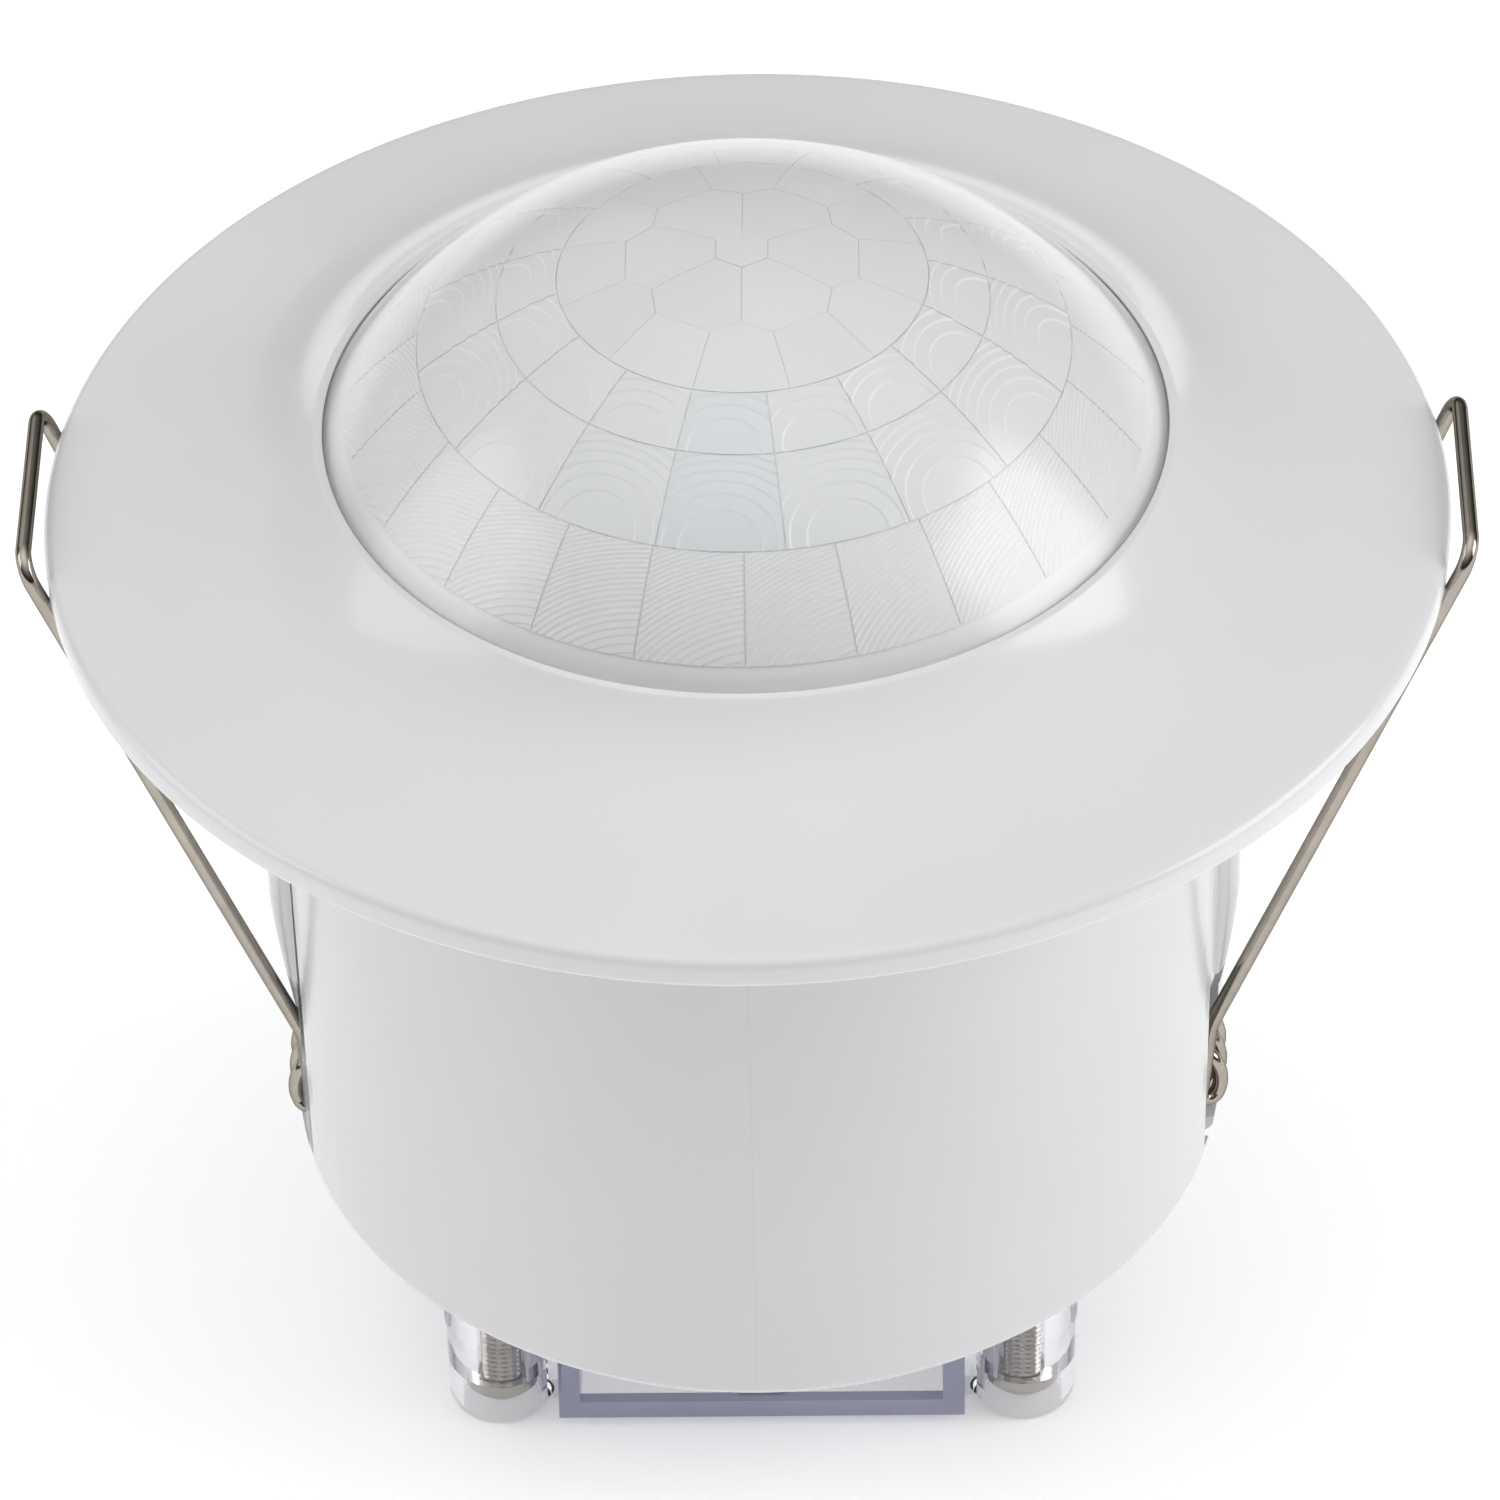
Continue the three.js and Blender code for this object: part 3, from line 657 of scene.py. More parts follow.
def build_cap(target):
    """The honeycomb: each cell is cut where its weighted share of the way to each other cell ends."""
    cap = CAP_TILT * FACET_R
    cells = cap_cells(cap)
    for i, (x, y, weight) in enumerate(cells):
        planes = []
        here = Vector((x, y))
        for j, (other_x, other_y, other_weight) in enumerate(cells):
            if i == j:
                continue
            away = Vector((other_x, other_y)) - here
            share = 0.5 + (weight ** 2 - other_weight ** 2) / (2 * away.length_squared)
            edge = here + away * share - away.normalized() * CELL_GAP
            planes.append((edge, away.normalized()))
        for k in range(RIM_SIDES):
            angle = TAU * k / RIM_SIDES
            outward = Vector((math.cos(angle), math.sin(angle)))
            if here.length > cap * 0.5 and outward.angle(here) < RIM_REACH:
                planes.append((outward * (cap - SEAM_GAP), outward))
        sheet = domed_sheet(CELL_REACH, (x, y))
        clipped(sheet, planes)
        stamp(target, sheet, cap_place, 0.12 + 0.1 * (i % 3))


def ring_tone_and_painted_shade(ring, azimuth):
    """A segment's tone: a low even tone, plus painted shade that is strongest where the segment looks to
    the front and weaker on the outer ring.
    """
    aside = abs((azimuth - FRONT - PAINTED_SHADE_CENTRE + math.pi) % TAU - math.pi)
    return 0.1 + 0.9 * RING_PAINTED_SHADE[ring] * max(0.0, 1 - aside / PAINTED_SHADE_REACH)


def build_rings(target):
    """The rings of segments round the cap."""
    for ring, count in enumerate(RING_COUNTS):
        inner, outer = RING_TILTS[ring], RING_TILTS[ring + 1]
        pitch = TAU / count
        for k in range(count):
            left = FRONT + RING_STARTS[ring] + k * pitch
            middle = left + pitch / 2

            def place(co, middle=middle, foot=outer):
                """Sheet X runs round the dome and sheet Y down it, with the segment's foot at zero."""
                tilt = foot + co.y / FACET_R
                return on_sphere(FACET_R + co.z, middle + co.x / (FACET_R * math.sin(tilt)), tilt)

            # side edges slant, because the ring is narrower at its top
            top_half = pitch / 2 * FACET_R * math.sin(inner) - SEAM_GAP
            foot_half = pitch / 2 * FACET_R * math.sin(outer) - SEAM_GAP
            height = (outer - inner) * FACET_R
            slant = Vector((height, foot_half - top_half)).normalized()
            planes = [
                ((0, -SEAM_GAP), (0, 1)),
                ((0, -height + SEAM_GAP), (0, -1)),
                ((foot_half, 0), (slant.x, -slant.y)),
                ((-foot_half, 0), (-slant.x, -slant.y)),
            ]
            sheet = clipped(zoned_sheet(*RING_ZONES[ring]), planes)
            stamp(target, sheet, place, ring_tone_and_painted_shade(ring, middle))


def build_lens():
    """The dome in three layers: a clear skin, the segments, and the milky layer that carries them."""
    bm = bmesh.new()
    bm.faces.layers.float.new("tone_and_painted_shade")
    foot_r, foot_z = LENS_HIGH.x, LENS_LOW.z
    edge = math.asin(dome_radius(DOME_FOOT_Z) / DOME_R)
    skin_edge, seam_edge, inner_edge = edge - 0.015, edge - 0.03, edge - 0.05
    steps = 72

    def arc(radius, start, end):
        tilts = [start + (end - start) * k / steps for k in range(steps + 1)]
        return [(radius * math.sin(t), DOME_CENTRE.z + radius * math.cos(t)) for t in tilts]

    lathe(bm, arc(DOME_R, 0, edge))
    rim = [(DOME_R * math.sin(edge), DOME_FOOT_Z), (foot_r, DOME_FOOT_Z - 0.3 * MM),
           (foot_r, foot_z), (foot_r - 1 * MM, foot_z)]
    lathe(bm, rim)
    lathe(bm, [rim[-1], *arc(DOME_R - SKIN, skin_edge, 0)], material=3)
    bmesh.ops.remove_doubles(bm, verts=bm.verts, dist=1e-7)
    seam_shell = [*arc(SEAM_R, 0, seam_edge), (foot_r - 1.2 * MM, foot_z),
                  (foot_r - 2.2 * MM, foot_z), *arc(INNER_R, inner_edge, 0)]
    lathe(bm, seam_shell, material=2)
    build_cap(bm)
    build_rings(bm)
    piece("fresnel_dome", bm, [SKIN_OUT, FACETS, MILKY_AND_PAINTED_LIGHT, SKIN_IN],
          nodes=["fresnel_lens"])


# ---- housing ----

# in millimetres: the bend at a guard's front end, as start, pull and end (x, z), then its stations
GUARD_BEND = ((35.8, 34.4), (36.8, 38.4), (37.2, 43.9))
GUARD_STATIONS = (52, 60, 68, 77.4)


def guard(side):
    """The low pad over a spring pocket: its rounded sides fall back into the housing."""
    bend = [Vector(place) for place in GUARD_BEND]
    curve = []
    for k in range(9):
        t = k / 8
        curve.append((bend[0] * (1 - t) ** 2 + bend[1] * 2 * t * (1 - t) + bend[2] * t * t) * MM)
    curve += [Vector((GUARD_X, z * MM)) for z in GUARD_STATIONS]
    root, side_y, steps = 35.2 * MM, GUARD_Y + 2.2 * MM, 8
    bm = bmesh.new()
    rows = []
    for outer in curve:
        angles = [TAU / 4 * k / steps for k in range(steps + 1)]
        flank = [(root + (outer.x - root) * math.sin(a), side_y - GUARD_ROUND * (1 - math.cos(a)))
                 for a in angles]
        section = [(x, -y) for x, y in flank] + [(x, y) for x, y in reversed(flank)]
        rows.append([bm.verts.new((x, y, outer.y)) for x, y in section])
    skin_over(bm, rows)
    bm.faces.new(rows[0])
    bm.faces.new(reversed(rows[-1]))
    return spun(bm, side)


def pocket_cuts(side):
    """Boolean steps for one spring pocket: guard, mouth, slots, middle rib, pin hole and floor holes."""
    slot_y = 7 * MM                                    # inner side of the wire's slots
    floor_z, mouth_z, arm_slot_z = 20.2 * MM, 31 * MM, 21 * MM
    slot_z0, slot_z1 = 30 * MM, 37 * MM
    pin_hole = rod(2.3 * MM, -9 * MM, 9 * MM)
    pin_hole.transform(Matrix.Translation((side * AXIS_X, 0, AXIS_Z)) @ LYING)
    cuts = [((-POCKET_Y, floor_z), (POCKET_Y, mouth_z)),
            ((-POCKET_Y, slot_z0), (-slot_y, slot_z1)), ((slot_y, slot_z0), (POCKET_Y, slot_z1)),
            ((-ARM_SLOT_Y, CUT_Z0), (-slot_y, arm_slot_z)),
            ((slot_y, CUT_Z0), (ARM_SLOT_Y, arm_slot_z))]
    rib = block((POCKET_X - 0.5 * MM, -1 * MM, floor_z - 0.5 * MM), (35.6 * MM, 1 * MM, 28.6 * MM))
    return [
        ("UNION", guard(side)),
        *[("DIFFERENCE", spun(block((POCKET_X, *low), (CUT_X, *high)), side)) for low, high in cuts],
        ("UNION", spun(rib, side)),
        ("DIFFERENCE", pin_hole),
        ("DIFFERENCE", rod(1.9 * MM, CUT_Z0, CUT_Z1, (side * POST_X, POST_Y, 0))),
        ("DIFFERENCE", rod(3 * MM, CUT_Z0, CUT_Z1, (side * KNOB_X, KNOB_Y, 0))),
    ]


def build_housing():
    """The can, with two spring pockets, two screw bosses and the openings in its floor."""
    floor, pocket_wall = 2.2 * MM, 1.6 * MM
    body = turned(filleted([
        (0, CAN_Z0), (CAN_R, CAN_Z0, 1.2 * MM), (CAN_FRONT_R, CAN_Z1), (0, CAN_Z1)]), ROUND)
    cavity = turned(filleted([
        (0, CAN_Z0 + floor), (CAN_R - CAN_WALL, CAN_Z0 + floor, 0.8 * MM),
        (CAN_FRONT_R - CAN_WALL, CAN_Z1 + 1 * MM), (0, CAN_Z1 + 1 * MM)]), ROUND)
    steps = [("DIFFERENCE", cavity)]
    for side in (-1, 1):
        box = block((POCKET_X - pocket_wall, -POCKET_Y - pocket_wall, CAN_Z0 + 0.1 * MM),
                    (CAN_R + 5 * MM, POCKET_Y + pocket_wall, 38.6 * MM))
        boss = rod(3.4 * MM, CAN_Z0 + 1 * MM, 24.7 * MM, (side * POST_X, POST_Y, 0))
        steps += [("UNION", carved(spun(box, side), [("INTERSECT", body.copy())])), ("UNION", boss)]
    for side in (-1, 1):
        steps += pocket_cuts(side)
    terminal_x, terminal_y = 13.4 * MM, 8.6 * MM
    steps.append(("DIFFERENCE", block((-terminal_x, -terminal_y, CUT_Z0),
                                      (terminal_x, terminal_y, CUT_Z1))))
    piece("housing_shell", carved(body, steps), [WHITE_BODY_PAINTED_SHADE],
          nodes=["rear_housing"])


# ---- spring clips ----

# the wire, in millimetres from its coil's axis
COIL_R, COIL_TURNS, COIL_PITCH, COIL_END = 3.2, 2.25, 2.4, math.radians(-22)
COIL_Y, FOOT_Y, TIP_Y = 7.2, 7.9, 9.4                # outer end of a coil, foot and tip of an arm
HOOK_R, HOOK_TURN = 0.7, 158                         # the hook from coil to arm, turned in degrees
ARM_FOOT = ((2.22, 0.15, 5.9), (2.33, 0.17, 6.6), (2.56, 0.2, 7.3))  # x, distance past FOOT_Y, z
ARM_TIP, ARM_LEAN = (20.7, 54.8), (0.354, 0.935)     # x and z of the tip, and the arm's direction
TIP_BEND = 2


def sweep(points, radius, sides=20):
    """A round wire along points, with rounded ends, by carrying one cross direction along."""
    bm = bmesh.new()
    last = len(points) - 1
    tangents = [(points[min(i + 1, last)] - points[max(i - 1, 0)]).normalized()
                for i in range(last + 1)]
    start, end, back, ahead = points[0], points[-1], -tangents[0], tangents[-1]
    rings = [(start + back * radius * 0.35, tangents[0], radius * 0.6),
             *[(here, along, radius) for here, along in zip(points, tangents)],
             (end + ahead * radius * 0.35, ahead, radius * 0.6)]
    across = tangents[0].orthogonal().normalized()
    rows = [[bm.verts.new(start + back * radius * 0.45)]]
    for centre, along, r in rings:
        across = (across - along * across.dot(along)).normalized()
        up = along.cross(across)
        angles = [TAU * k / sides for k in range(sides)]
        rows.append([bm.verts.new(centre + (across * math.cos(a) + up * math.sin(a)) * r)
                     for a in angles])
    rows.append([bm.verts.new(end + ahead * radius * 0.45)])
    skin_over(bm, rows)
    return bm


def half_clip():
    """Half of a clip's wire in millimetres from its coil axis: x outwards, y along it, z up."""
    points = []
    steps = 110
    for i in range(steps + 1):
        left = COIL_TURNS * (1 - i / steps)
        angle = COIL_END + left * TAU
        points.append((COIL_R * math.cos(angle), -COIL_Y + COIL_PITCH * left,
                       COIL_R * math.sin(angle)))
    hook_x, hook_z = ((COIL_R - HOOK_R) * ratio for ratio in (math.cos(COIL_END), math.sin(COIL_END)))
    for turned_by in range(10, HOOK_TURN, 10):
        angle = COIL_END - math.radians(turned_by)
        across = COIL_Y + (FOOT_Y - COIL_Y) * turned_by / HOOK_TURN
        points.append((hook_x + HOOK_R * math.cos(angle), -across, hook_z + HOOK_R * math.sin(angle)))
    points += [(x, -FOOT_Y - out, z) for x, out, z in ARM_FOOT]
    for degrees in range(0, 91, 9):
        angle = math.radians(degrees)
        short = TIP_BEND * (1 - math.sin(angle))
        points.append((ARM_TIP[0] - short * ARM_LEAN[0], -TIP_Y + TIP_BEND * (1 - math.cos(angle)),
                       ARM_TIP[1] - short * ARM_LEAN[1]))
    return points


def build_clip(side, name):
    """One spring clip's wire, and the pin that its coils turn on."""
    half = half_clip()
    points = [Vector(p) * MM for p in half]
    points += [Vector((x, -y, z)) * MM for x, y, z in reversed(half)]
    axis = Matrix.Translation((side * AXIS_X, 0, AXIS_Z))
    bm = spun(sweep(points, WIRE_R), side)
    bm.transform(axis)
    piece(name + "_wire", bm, [NICKEL], body=name, nodes=[name])
    half_pin, ease = 6.8 * MM, 0.3 * MM
    pin = turned(filleted([(0, -half_pin), (PIN_R, -half_pin, ease), (PIN_R, half_pin, ease),
                           (0, half_pin)]))
    pin.transform(axis @ LYING)
    pin_body = body_of(NODES[name + "_pin"])[0]
    piece(name + "_rod", pin, [ZINC], body=pin_body, nodes=[name + "_pin"])


# ---- terminal cover and screws ----

def cover_supports(side):
    """Boolean steps for one side of the cover: the web to its screw post, the post and a foot."""
    top, rear = COVER_HIGH.z, COVER_HIGH.y
    post_r, rim_r, rim_z = 4.15 * MM, 4.3 * MM, 8.3 * MM
    post = turned(filleted([
        (0, 0), (post_r - 0.25 * MM, 0, 0.35 * MM), (post_r, PLATE_Z, 0.2 * MM), (post_r, rim_z),
        (rim_r, rim_z + 0.2 * MM), (rim_r, top), (0, top)]), 64, place=(side * POST_X, POST_Y, 0))
    foot_r, foot_z = 2.6 * MM, 2 * MM
    foot = turned(filleted([(0, 0), (foot_r, 0, 0.4 * MM), (foot_r, foot_z), (0, foot_z)]),
                  place=(side * 11 * MM, rear - 3 * MM, 0))
    web = spun(block((14.9 * MM, -2 * MM, PLATE_Z), (19.5 * MM, 2 * MM, top)), side)
    web.transform(Matrix.Translation((0, POST_Y, 0)))
    return [("UNION", web), ("UNION", post), ("UNION", foot)]


def build_terminal_cover():
    """A clear tray open at the front, with a low front bar, a cable entry and two screw posts."""
    front, rear, top = COVER_LOW.y, COVER_HIGH.y, COVER_HIGH.z
    outer_x, inner_x = 15.9 * MM, 14.2 * MM
    wall, plate, bar_rise, bar_depth = 1.7 * MM, 2.2 * MM, 1.7 * MM, 1 * MM
    entry_y = -9.5 * MM                                # rear end of the cable entry
    block_x, block_depth, block_rise = 1.8 * MM, 1.5 * MM, 1.35 * MM
    clear = 5 * MM                                     # how far a cutter reaches past the cover
    steps = cover_supports(-1) + cover_supports(1)
    steps += [
        ("DIFFERENCE", block((-inner_x, front - clear, PLATE_Z + plate),
                             (inner_x, rear - wall, top + clear))),
        ("DIFFERENCE", block((-inner_x, front - clear, PLATE_Z + bar_rise),
                             (inner_x, entry_y, PLATE_Z + 3 * MM))),
        ("DIFFERENCE", block((-inner_x, front + bar_depth, -clear),
                             (inner_x, entry_y, PLATE_Z + 3 * MM))),
        ("UNION", block((-block_x, front, PLATE_Z),
                        (block_x, front + block_depth, PLATE_Z + block_rise))),
    ]
    for side in (-1, 1):
        place = (side * POST_X, POST_Y, 0)
        steps += [("DIFFERENCE", rod(3.1 * MM, -1 * MM, 3.7 * MM, place)),
                  ("DIFFERENCE", rod(1.9 * MM, 3 * MM, top + 1 * MM, place))]
    bm = carved(block((-outer_x, front, PLATE_Z), (outer_x, rear, top)), steps)
    for face in bm.faces:
        face.material_index = int(abs(face.calc_center_median().x) < outer_x + 0.02 * MM)
    piece("clear_terminal_cover", bm, [CLEAR, TINTED], nodes=["terminal_cover"],
          bevel=0.15 * MM)


def screw(node, head_r, head_h, shank_r, pitch=0.5 * MM, flip=False):
    """A pan-head cross-recess screw with a rolled thread, in the place of its node."""
    low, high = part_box(node)
    centre = (low + high) / 2
    length = high.z - low.z
    neck = head_h + 0.2 * MM
    head = turned(filleted([
        (0, 0), (head_r * 0.62, 0, head_h * 0.25), (head_r, head_h * 0.55, head_h * 0.3),
        (head_r, head_h, 0.1 * MM), (shank_r * 0.9, head_h), (shank_r * 0.7, neck), (0, neck)]))
    reach, half_arm = head_r * 0.6, head_r * 0.12
    bm = carved(head, [("DIFFERENCE", block((-x, -y, -1 * MM), (x, y, head_h * 0.5)))
                       for x, y in ((reach, half_arm), (half_arm, reach))])
    rows = [[bm.verts.new((0, 0, head_h))]]
    sides, per_turn = 24, 6
    count = int((length - head_h) / pitch * per_turn)
    for i in range(count + 1):
        z = head_h + (length - head_h) * i / count
        taper = min(1.0, (length - z) / (1.2 * shank_r) + 0.45)
        row = []
        for k in range(sides):
            angle, phase = TAU * k / sides, (i / per_turn - k / sides) % 1
            r = shank_r * taper * (1 - 0.18 * abs(2 * phase - 1))
            row.append(bm.verts.new((r * math.cos(angle), r * math.sin(angle), z)))
        rows.append(row)
    rows.append([bm.verts.new((0, 0, length))])
    skin_over(bm, rows)
    turn = Matrix.Rotation(math.pi if flip else 0, 4, "X")
    bm.transform(Matrix.Translation((centre.x, centre.y, high.z if flip else low.z)) @ turn)
    piece(node + "_threaded", bm, [ZINC], nodes=[node])


def build_screws():
    """Cover screws, and the screws of the terminals and of the board."""
    for side in ("left", "right"):
        screw(side + "_cover_screw", 2.8 * MM, 2.4 * MM, 1.6 * MM)
    for i in (1, 2, 3):
        screw(f"terminal_screw_{i}", 1.9 * MM, 1.6 * MM, 1 * MM, 0.4 * MM)
        screw(f"board_screw_{i}", 2.4 * MM, 1.6 * MM, 1.25 * MM, 0.45 * MM, flip=True)


# ---- controls, terminals and parts on the boards ----

def build_knobs():
    """Setting knobs: a fluted grip, a driver slot across the face and a pointer notch."""
    grip, stem, flutes = 3.9 * MM, 2.6 * MM, 20
    flute_r, flute_z0, flute_z1 = 0.36 * MM, 0.9 * MM, 5 * MM
    for name in ("time_knob", "lux_knob"):
        low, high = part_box(name)
        radius, rise = (high.x - low.x) / 2, high.z - low.z
        bm = turned(filleted([(0, 0), (radius, 0, 0.5 * MM), (radius, grip, 0.3 * MM),
                              (stem, grip), (stem, rise, 0.3 * MM), (0, rise)]), 96)
        cutters = bmesh.new()
        reach = radius + 0.1 * MM
        for k in range(flutes):
            angle = TAU * k / flutes
            lathe(cutters, [(0, flute_z0), (flute_r, flute_z0), (flute_r, flute_z1), (0, flute_z1)],
                  16, place=(reach * math.cos(angle), reach * math.sin(angle), 0))
        bm = carved(bm, [
            ("DIFFERENCE", cutters),
            ("DIFFERENCE", block((-3 * MM, -0.6 * MM, -1 * MM), (3 * MM, 0.6 * MM, 1.6 * MM))),
            ("DIFFERENCE", block((-0.3 * MM, 3 * MM, -1 * MM), (0.3 * MM, 5 * MM, 0.4 * MM))),
        ])
        bm.transform(Matrix.Translation(((low.x + high.x) / 2, (low.y + high.y) / 2, low.z)))
        piece(name + "_fluted", bm, [MOULDING], body=body_of(NODES[name])[0],
              nodes=[name], bevel=0.08 * MM)


def build_terminal_block():
    """Three poles side by side, parted by grooves, each with a wire port and a screw well."""
    low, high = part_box("terminal_block")
    pitch, half_groove, groove, clear = 8 * MM, 0.4 * MM, 1 * MM, 1 * MM
    port_x, port_z0, port_z1 = 2.6 * MM, 10.4 * MM, 16.2 * MM
    well_r, mouth_r, well_end = 2.3 * MM, 2.9 * MM, 12 * MM
    steps = []
    for x in (-pitch / 2, pitch / 2):
        x0, x1 = x - half_groove, x + half_groove
        steps += [("DIFFERENCE", block((x0, low.y - clear, low.z - clear),
                                       (x1, low.y + groove, high.z + clear))),
                  ("DIFFERENCE", block((x0, low.y - clear, low.z - clear),
                                       (x1, high.y + clear, low.z + 0.9 * MM)))]
    for x in (-pitch, 0, pitch):
        port = block((x - port_x, low.y - 2 * clear, port_z0), (x + port_x, 4.4 * MM, port_z1))
        well = turned([(0, 4 * MM), (mouth_r, 4 * MM), (mouth_r, low.z), (well_r, low.z + 0.6 * MM),
                       (well_r, well_end), (0, well_end)], place=(x, 0, 0))
        steps += [("DIFFERENCE", port), ("DIFFERENCE", well)]
    piece("terminal_block_body", carved(block(low, high), steps), [GREY],
          nodes=["terminal_block"], bevel=0.2 * MM)


def upright(node):
    """The place of an upright round node, in the middle of its low end, with its radius and rise."""
    low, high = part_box(node)
    middle = (low + high) / 2
    return (middle.x, middle.y, low.z), (high.x - low.x) / 2, high.z - low.z


def build_drums():
    """The turned parts on the boards: capacitor, fuse, varistor, light sensor and lens ring."""
    place, radius, rise = upright("smoothing_capacitor")
    crimp, groove_r, rim, end_r = 1.6 * MM, radius * 0.93, rise - 0.15 * MM, radius * 0.8
    can = turned(filleted([
        (0, 0), (radius, 0, 0.6 * MM), (radius, crimp), (groove_r, crimp + 0.5 * MM, 0.3 * MM),
        (radius, crimp + 1 * MM), (radius, rise, 0.7 * MM), (radius * 0.82, rise), (end_r, rim),
        (0, rim)]), place=place)
    piece("capacitor_can", can, [BLACK], nodes=["smoothing_capacitor"])

    place, radius, rise = upright("fuse")
    drum = turned(filleted([(0, 0), (radius, 0, 0.4 * MM), (radius, rise, 0.6 * MM), (0, rise)]),
                  place=place)
    piece("fuse_case", drum, [BLACK], nodes=["fuse"])

    low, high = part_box("varistor")
    radius, half = (high.x - low.x) / 2, (high.y - low.y) / 2
    disc = turned(filleted([(0, -half), (radius * 0.94, -half, half * 0.8), (radius, 0, 0.3 * MM),
                            (radius * 0.94, half, half * 0.8), (0, half)]), 64)
    disc.transform(Matrix.Translation((low + high) / 2) @ LYING)
    piece("varistor_disc", disc, [BLUE], nodes=["varistor"])

    place, radius, rise = upright("light_sensor")
    collar, bulb_r = 0.9 * MM, radius * 0.88
    bulb = turned(filleted([
        (0, 0), (radius, 0, 0.2 * MM), (radius, collar, 0.1 * MM), (bulb_r, collar),
        (bulb_r, rise, radius * 0.8), (0, rise)], 10), place=place)
    piece("light_sensor_bulb", bulb, [MILKY_AND_PAINTED_LIGHT], nodes=["light_sensor"])

    low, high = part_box("lens_retainer")
    inner, ease = 28 * MM, 0.2 * MM
    ring = turned(filleted([(inner, low.z, ease), (high.x, low.z, ease), (high.x, high.z, ease),
                            (inner, high.z, ease)]), ROUND, closed=True)
    piece("lens_retainer_ring", ring, [MOULDING], nodes=["lens_retainer"])


# ---- carried-over CAD nodes ----

def carry_over():
    """Gives every CAD node that still shows its procedural material and eased edges."""
    by_slot = {"white_shell": WHITE, "white_moulding": MOULDING, "milky_lens": MILKY_AND_PAINTED_LIGHT,
               "spring_wire": NICKEL, "zinc_steel": ZINC, "clear_cover": CLEAR,
               "grey_moulding": GREY, "black_case": BLACK, "blue_case": BLUE,
               "clamp_brass": BRASS, "circuit_board": BOARD, "sensor_can": CAN_METAL,
               "dark_window": DARK}
    for row in frame["record"]["subparts"]:
        node = NODES[row["node"]]
        node.data.materials.clear()
        node.data.materials.append(by_slot[row["material_slot"]])
        ease_edges(node, 0.12 * MM)


# ---- stage ----

CAMERA_TARGET = Vector((-0.0002, 0, 0.0525))
CAMERA_DISTANCE = 0.7
CAMERA_ELEVATION = math.radians(40.92)
CAMERA_TURN = math.radians(1.1)          # round the part, from straight in front of it
CAMERA_ROLL = math.radians(-1.245)
CAMERA_LENS = 219.8                      # millimetres, on a sensor 36 mm wide

SKY_GLOWS = [((0, 0, 1), 4, 1.12), ((0, -0.5, 0.87), 4, 0.29), ((0, 1, 0.35), 4, 0.08),
             ((-0.57, 0, 0.82), 4, 0.46), ((0.57, 0, 0.82), 4, 0.17)]
SOFTBOX_SIZE = 0.7
SOFTBOX_TARGET = Vector((0, 0, 0.06))
SOFTBOXES = {                            # azimuth, elevation, distance and watts
    "left_softbox": (-88, 25, 1.1, 2.75),
    "right_softbox": (84, 25, 1.1, 5.4),
    "back_softbox": (-150, 30, 1.3, 0.6),
}


def build_camera():
    data = bpy.data.cameras.new("camera")
    data.lens = CAMERA_LENS
    data.sensor_width = 36
    data.clip_start, data.clip_end = 0.01, 10
    camera = bpy.data.objects.new("camera", data)
    bpy.context.scene.collection.objects.link(camera)
    forward = Vector((0, math.cos(CAMERA_ELEVATION), -math.sin(CAMERA_ELEVATION)))
    right = Vector((1, 0, 0))
    up = right.cross(forward)
    roll_right = right * math.cos(CAMERA_ROLL) + up * math.sin(CAMERA_ROLL)
    roll_up = up * math.cos(CAMERA_ROLL) - right * math.sin(CAMERA_ROLL)
    pose = Matrix((roll_right, roll_up, -forward)).transposed().to_4x4()
    pose.translation = CAMERA_TARGET - forward * CAMERA_DISTANCE
    camera.matrix_world = Matrix.Rotation(CAMERA_TURN, 4, "Z") @ pose
    bpy.context.scene.camera = camera


def softbox(name, azimuth, elevation, distance, power):
    """An area light that looks at the object; azimuth 0 is in front, positive to the right."""
    data = bpy.data.lights.new(name, "AREA")
    data.shape = "RECTANGLE"
    data.size = data.size_y = SOFTBOX_SIZE
    data.energy = power
    lamp = bpy.data.objects.new(name, data)
    bpy.context.scene.collection.objects.link(lamp)
    a, e = math.radians(azimuth), math.radians(elevation)
    away = Vector((math.sin(a) * math.cos(e), -math.cos(a) * math.cos(e), math.sin(e)))
    lamp.location = SOFTBOX_TARGET + away * distance
    lamp.rotation_euler = away.to_track_quat("Z", "Y").to_euler()


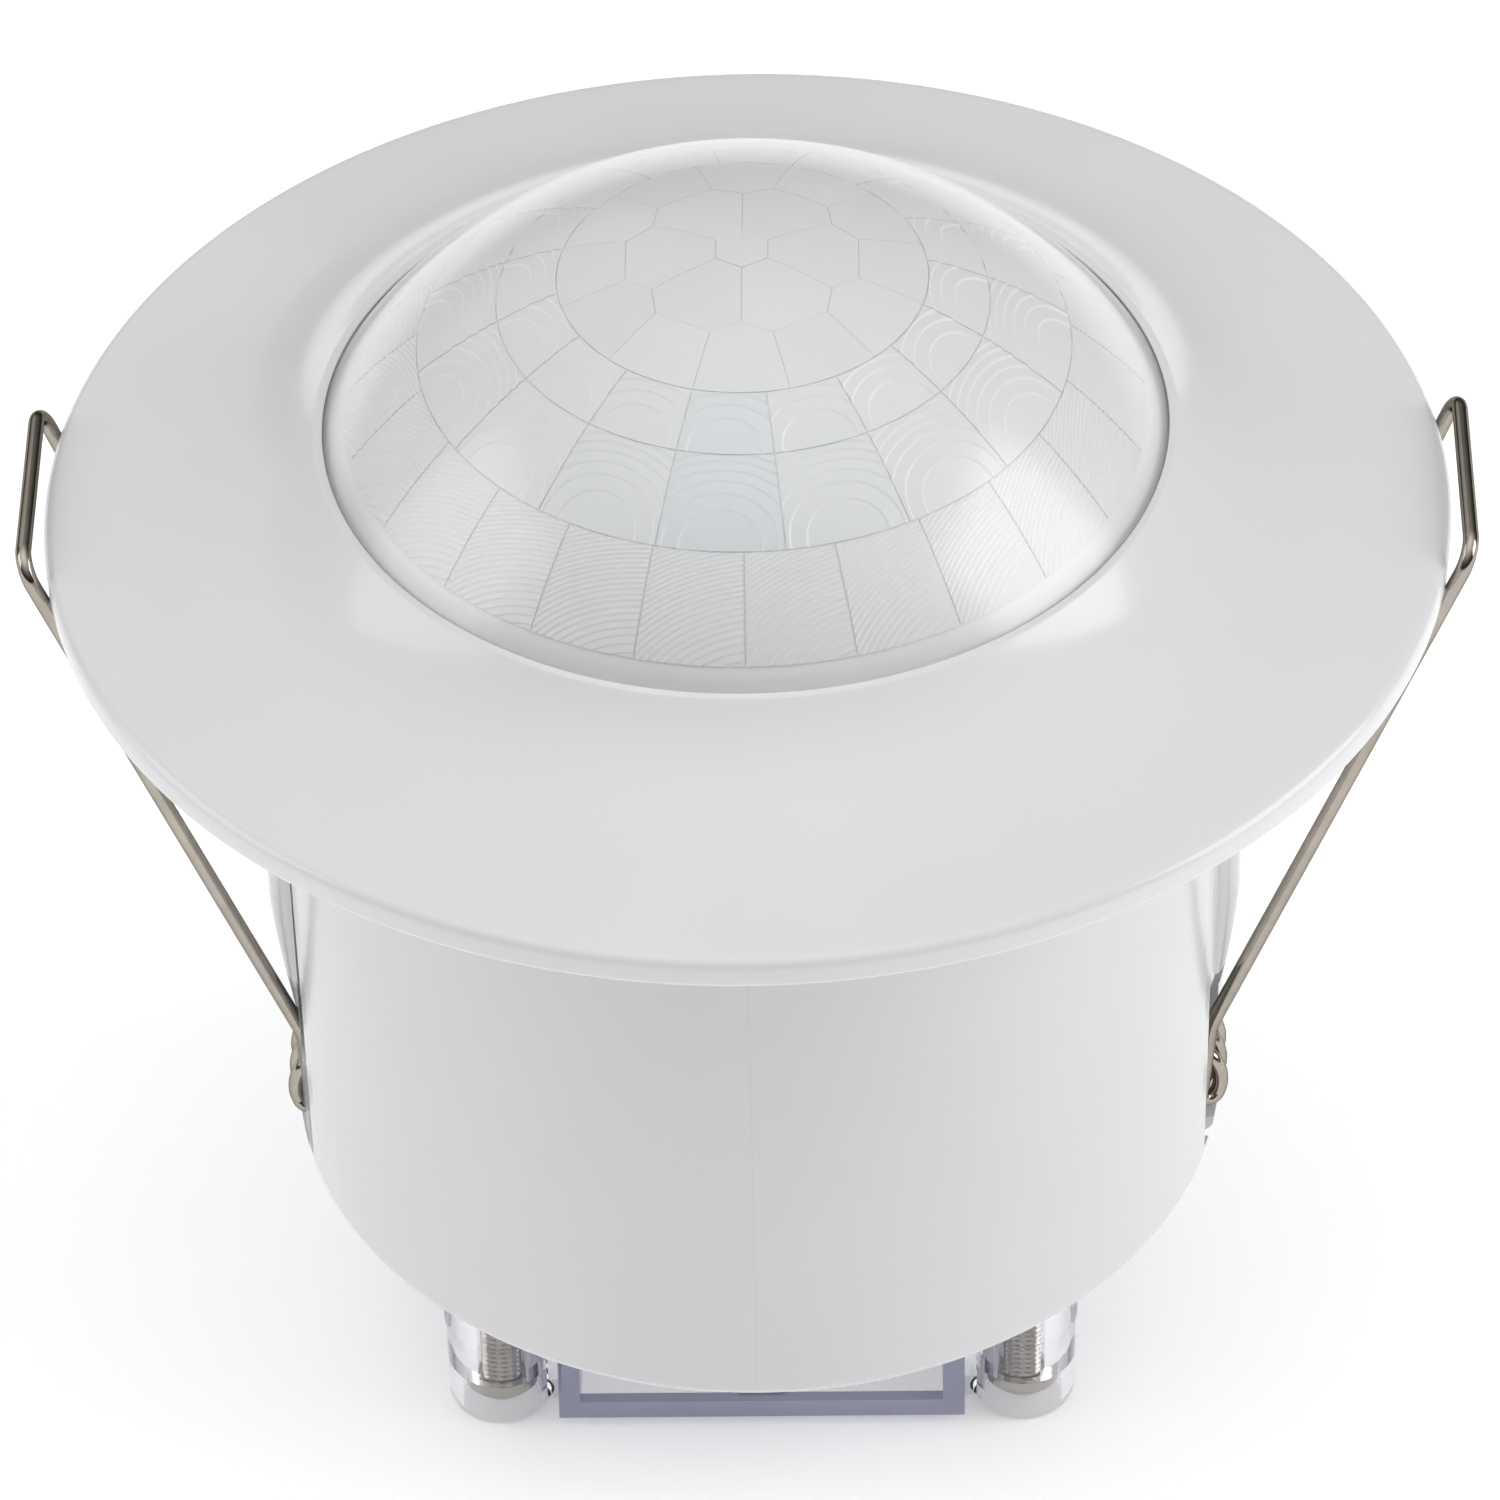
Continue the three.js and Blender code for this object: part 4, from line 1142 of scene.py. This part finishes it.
def build_sky(glows):
    """A soft white surround: a sum of broad glows, each (direction, sharpness, strength)."""
    world = bpy.data.worlds.new("studio")
    bpy.context.scene.world = world
    world.use_nodes = True
    tree = world.node_tree
    direction = tree.nodes.new("ShaderNodeTexCoord").outputs["Generated"]

    def step(operation, first, second):
        node = tree.nodes.new("ShaderNodeMath")
        node.operation = operation
        tree.links.new(first, node.inputs[0])
        if isinstance(second, (int, float)):
            node.inputs[1].default_value = second
        else:
            tree.links.new(second, node.inputs[1])
        return node.outputs["Value"]

    total = None
    for toward, sharpness, strength in glows:
        facing = tree.nodes.new("ShaderNodeVectorMath")
        facing.operation = "DOT_PRODUCT"
        facing.inputs[1].default_value = Vector(toward).normalized()
        tree.links.new(direction, facing.inputs[0])
        glow = step("MAXIMUM", facing.outputs["Value"], 0.0)
        glow = step("MULTIPLY", step("POWER", glow, sharpness), strength)
        total = glow if total is None else step("ADD", total, glow)
    background = tree.nodes["Background"]
    background.inputs["Color"].default_value = (1, 1, 1, 1)
    tree.links.new(total, background.inputs["Strength"])


def build_floor():
    """A wide sheet of white paper, faintly lit from within so that it stays white."""
    bm = bmesh.new()
    bmesh.ops.create_grid(bm, x_segments=8, y_segments=8, size=3)
    mesh = bpy.data.meshes.new("floor")
    bm.to_mesh(mesh)
    bm.free()
    floor = bpy.data.objects.new("floor", mesh)
    bpy.context.scene.collection.objects.link(floor)
    finish = Finish("floor_paper", Roughness=0.9, Emission_Color=(1, 1, 1, 1), Emission_Strength=0.32)
    finish.shades(8, 3, (0.93, 0.93, 0.93), (0.95, 0.95, 0.95))
    mesh.materials.append(finish.material)


def build_stage():
    bpy.context.scene.view_settings.view_transform = "Standard"
    build_sky(SKY_GLOWS)
    build_floor()
    for name, aim in SOFTBOXES.items():
        softbox(name, *aim)


build_camera()
carry_over()
build_bezel()
build_lens()
build_housing()
build_clip(1, "right_clip")
build_clip(-1, "left_clip")
build_terminal_cover()
build_screws()
build_knobs()
build_terminal_block()
build_drums()
build_stage()
